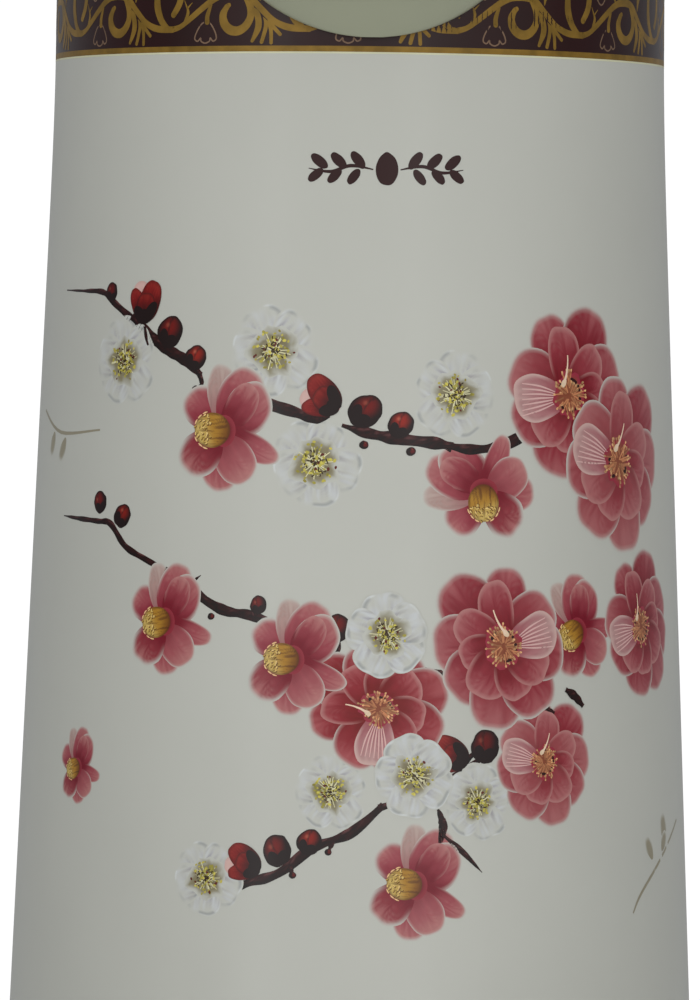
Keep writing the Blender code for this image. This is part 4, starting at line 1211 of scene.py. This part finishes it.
# --- inside the pot -----------------------------------------------------------------------------
def wire(name, points, radius, mat, spokes=14):
    """A round wire through points given in mm."""
    bm = bmesh.new()
    rings = []
    for k, p in enumerate(points):
        ahead = (points[min(k + 1, len(points) - 1)] - points[max(k - 1, 0)]).normalized()
        side = ahead.orthogonal().normalized() if k == 0 else (side - ahead * side.dot(ahead)).normalized()
        up = ahead.cross(side)
        rings.append([bm.verts.new((p + radius * (side * math.cos(a) + up * math.sin(a))) * MM)
                      for a in (2 * math.pi * n / spokes for n in range(spokes))])
    for low, high in zip(rings, rings[1:]):
        bridge(bm, low, high)
    bm.faces.new(rings[0])
    bm.faces.new(rings[-1])
    return add(name, bm, mat)


def bend(obj, slot, node, bodies, start, end):
    """A part between two bodies: hides its CAD node and bakes its transform into its mesh."""
    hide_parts(node)
    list(bodies)
    tuple(v * MM for v in start)
    tuple(v * MM for v in end)
    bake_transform(obj)


def helix(radii, start, end, turns, steps, side, up):
    """Points of a coil that runs from start to end, its radius going from the first to the second."""
    points = []
    for k in range(turns * steps + 1):
        share = k / (turns * steps)
        a = 2 * math.pi * k / steps
        r = radii[0] + (radii[1] - radii[0]) * share
        points.append(start + (end - start) * share + r * (math.cos(a) * side + math.sin(a) * up))
    return points


def make_bellows(mats):
    """Five soft folds between the lid's floor and the push plate."""
    low, high = BELLOWS_SPAN
    pitch = (high - low - 2 * BELLOWS_LIP) / BELLOWS_FOLDS
    outside = [(BELLOWS_R, high)]
    for k in range(BELLOWS_FOLDS):
        for n in range(FOLD_STEPS):
            share = n / FOLD_STEPS
            swell = 0.5 - 0.5 * math.cos(2 * math.pi * share)
            outside.append((BELLOWS_R + FOLD_DEPTH * swell ** 0.8, high - BELLOWS_LIP - (k + share) * pitch))
    outside += [(BELLOWS_R, low + BELLOWS_LIP), (BELLOWS_R, low)]
    inside = [(r - BELLOWS_WALL, z) for r, z in reversed(outside)]
    slot = SLOTS["bellows"]
    folded = add("bellows_fine", turned(outside + inside, 96), mats[LOOKS[slot]], 60)
    bend(folded, slot, "bellows", ("lid", "plate"), (0, 0, low + 1), (0, 0, high - 1))


def make_springs(mats):
    x, y, z = (Vector(v) for v in ((1, 0, 0), (0, 1, 0), (0, 0, 1)))
    coil = helix((24, 18), 339.6 * z, 379.2 * z, 5, 40, x, y)
    spring = wire("plate_spring", coil, 1.1, mats["steel"])
    bend(spring, "steel", "return_spring", ("lid", "plate"), (0, 0, 341), (0, 0, 378))
    middle = 348.5 * z
    coil = helix((3, 3), middle - 71.9 * y, middle - 55.0 * y, 4, 36, x, z)
    spring = wire("button_spring", coil, 0.4, mats["steel"], 10)
    bend(spring, "steel", "latch_spring", ("lid", "latch"), (0, -55.6, 348.5), (0, -71.2, 348.5))


# --- the CAD nodes that stay --------------------------------------------------------------------
def dress_frame(mats):
    """Better materials for the CAD nodes that stay."""
    for part in frame["record"]["subparts"]:
        node = frame["nodes"][part["node"]]
        mat = mats[LOOKS[part["material_slot"]]]
        node.data.materials.clear()
        node.data.materials.append(mat)
        node.data.shade_smooth()
        node.data.set_sharp_from_angle(angle=math.radians(30))


# --- studio -------------------------------------------------------------------------------------
def area(name, place, target, size, power, colour=(1, 1, 1)):
    data = bpy.data.lights.new(name, "AREA")
    data.shape = "RECTANGLE"
    data.size = size[0]
    data.size_y = size[1]
    data.energy = power
    data.color = colour
    lamp = bpy.data.objects.new(name, data)
    lamp.location = place
    lamp.rotation_euler = (Vector(target) - Vector(place)).to_track_quat("-Z", "Y").to_euler()
    bpy.context.collection.objects.link(lamp)


def make_studio():
    world = bpy.data.worlds.new("studio")
    bpy.context.scene.world = world
    world.use_nodes = True
    tree = world.node_tree
    room = tree.nodes["Background"]
    room.inputs["Strength"].default_value = 1.0
    coords = tree.nodes.new("ShaderNodeTexCoord")
    split = tree.nodes.new("ShaderNodeSeparateXYZ")
    tree.links.new(coords.outputs["Generated"], split.inputs["Vector"])
    span = tree.nodes.new("ShaderNodeMapRange")
    span.inputs["From Min"].default_value = 1.0
    span.inputs["From Max"].default_value = -1.0
    tree.links.new(split.outputs["Y"], span.inputs["Value"])
    walls = ramp(tree, span.outputs["Result"], [(0.0, (0.34, 0.35, 0.36)), (0.46, (0.21, 0.21, 0.225)),
                                                (0.60, (0.20, 0.205, 0.20)), (0.71, (0.56, 0.565, 0.56)),
                                                (1.0, (0.77, 0.77, 0.765))])
    tree.links.new(walls, room.inputs["Color"])
    white = tree.nodes.new("ShaderNodeBackground")
    white.inputs["Color"].default_value = (1, 1, 1, 1)
    white.inputs["Strength"].default_value = 1.05
    path = tree.nodes.new("ShaderNodeLightPath")
    blend = tree.nodes.new("ShaderNodeMixShader")
    tree.links.new(path.outputs["Is Camera Ray"], blend.inputs["Fac"])
    tree.links.new(room.outputs["Background"], blend.inputs[1])
    tree.links.new(white.outputs["Background"], blend.inputs[2])
    tree.links.new(blend.outputs["Shader"], tree.nodes["World Output"].inputs["Surface"])
    area("left_box", (-0.95, -1.5, 0.35), (0, 0, 0.2), (0.28, 1.5), 1.6)
    area("right_box", (0.60, -1.7, 0.35), (0, 0, 0.2), (0.20, 1.5), 1.3)
    area("top_box", (0, -0.2, 1.6), (0, 0, 0.3), (1.0, 1.0), 5)
    area("low_box", (0, -1.0, 0.03), (0, 0, 0.12), (1.8, 0.16), 1.2)

    floor = bmesh.new()
    bmesh.ops.create_circle(floor, cap_ends=True, segments=96, radius=0.62)
    stage = add("floor", floor, None)
    mat, tree, node = shader("floor_white", (0.82, 0.82, 0.81), 0.6)
    vary((mat, tree, node), (0.82, 0.82, 0.81), 0.01, 4)
    stage.data.materials.append(mat)
    bpy.context.scene.view_settings.view_transform = "Standard"


def make_camera():
    """Level, at the middle of the body, far away with a long lens, turned and rolled a little."""
    distance = 2.82
    turn = math.radians(-2.0)
    data = bpy.data.cameras.new("camera")
    data.lens = 397.6
    data.sensor_width = 36
    data.clip_start = 0.1
    data.clip_end = 20
    camera = bpy.data.objects.new("camera", data)
    right = Vector((math.cos(turn), math.sin(turn), 0))
    back = Vector((math.sin(turn), -math.cos(turn), 0))
    camera.location = back * distance + Vector((0, 0, 0.1697)) - right * 0.0013
    look = (-back).to_track_quat("-Z", "Y").to_matrix().to_4x4()
    roll = Matrix.Rotation(math.radians(0.63), 4, "Z")
    camera.rotation_euler = (look @ roll).to_euler()
    bpy.context.collection.objects.link(camera)
    bpy.context.scene.camera = camera


def main():
    make_camera()
    make_studio()
    mats = make_materials()
    dress_frame(mats)
    make_body(mats)
    make_band(mats)
    make_ornament(mats)
    make_branches(mats["ink"])
    make_short_branch(mats["ink"])
    make_flowers(mats["ink"])
    make_collar(mats)
    make_hood(mats)
    make_lid(mats)
    make_plate(mats)
    make_latch(mats)
    make_handle(mats)
    make_bellows(mats)
    make_springs(mats)


main()
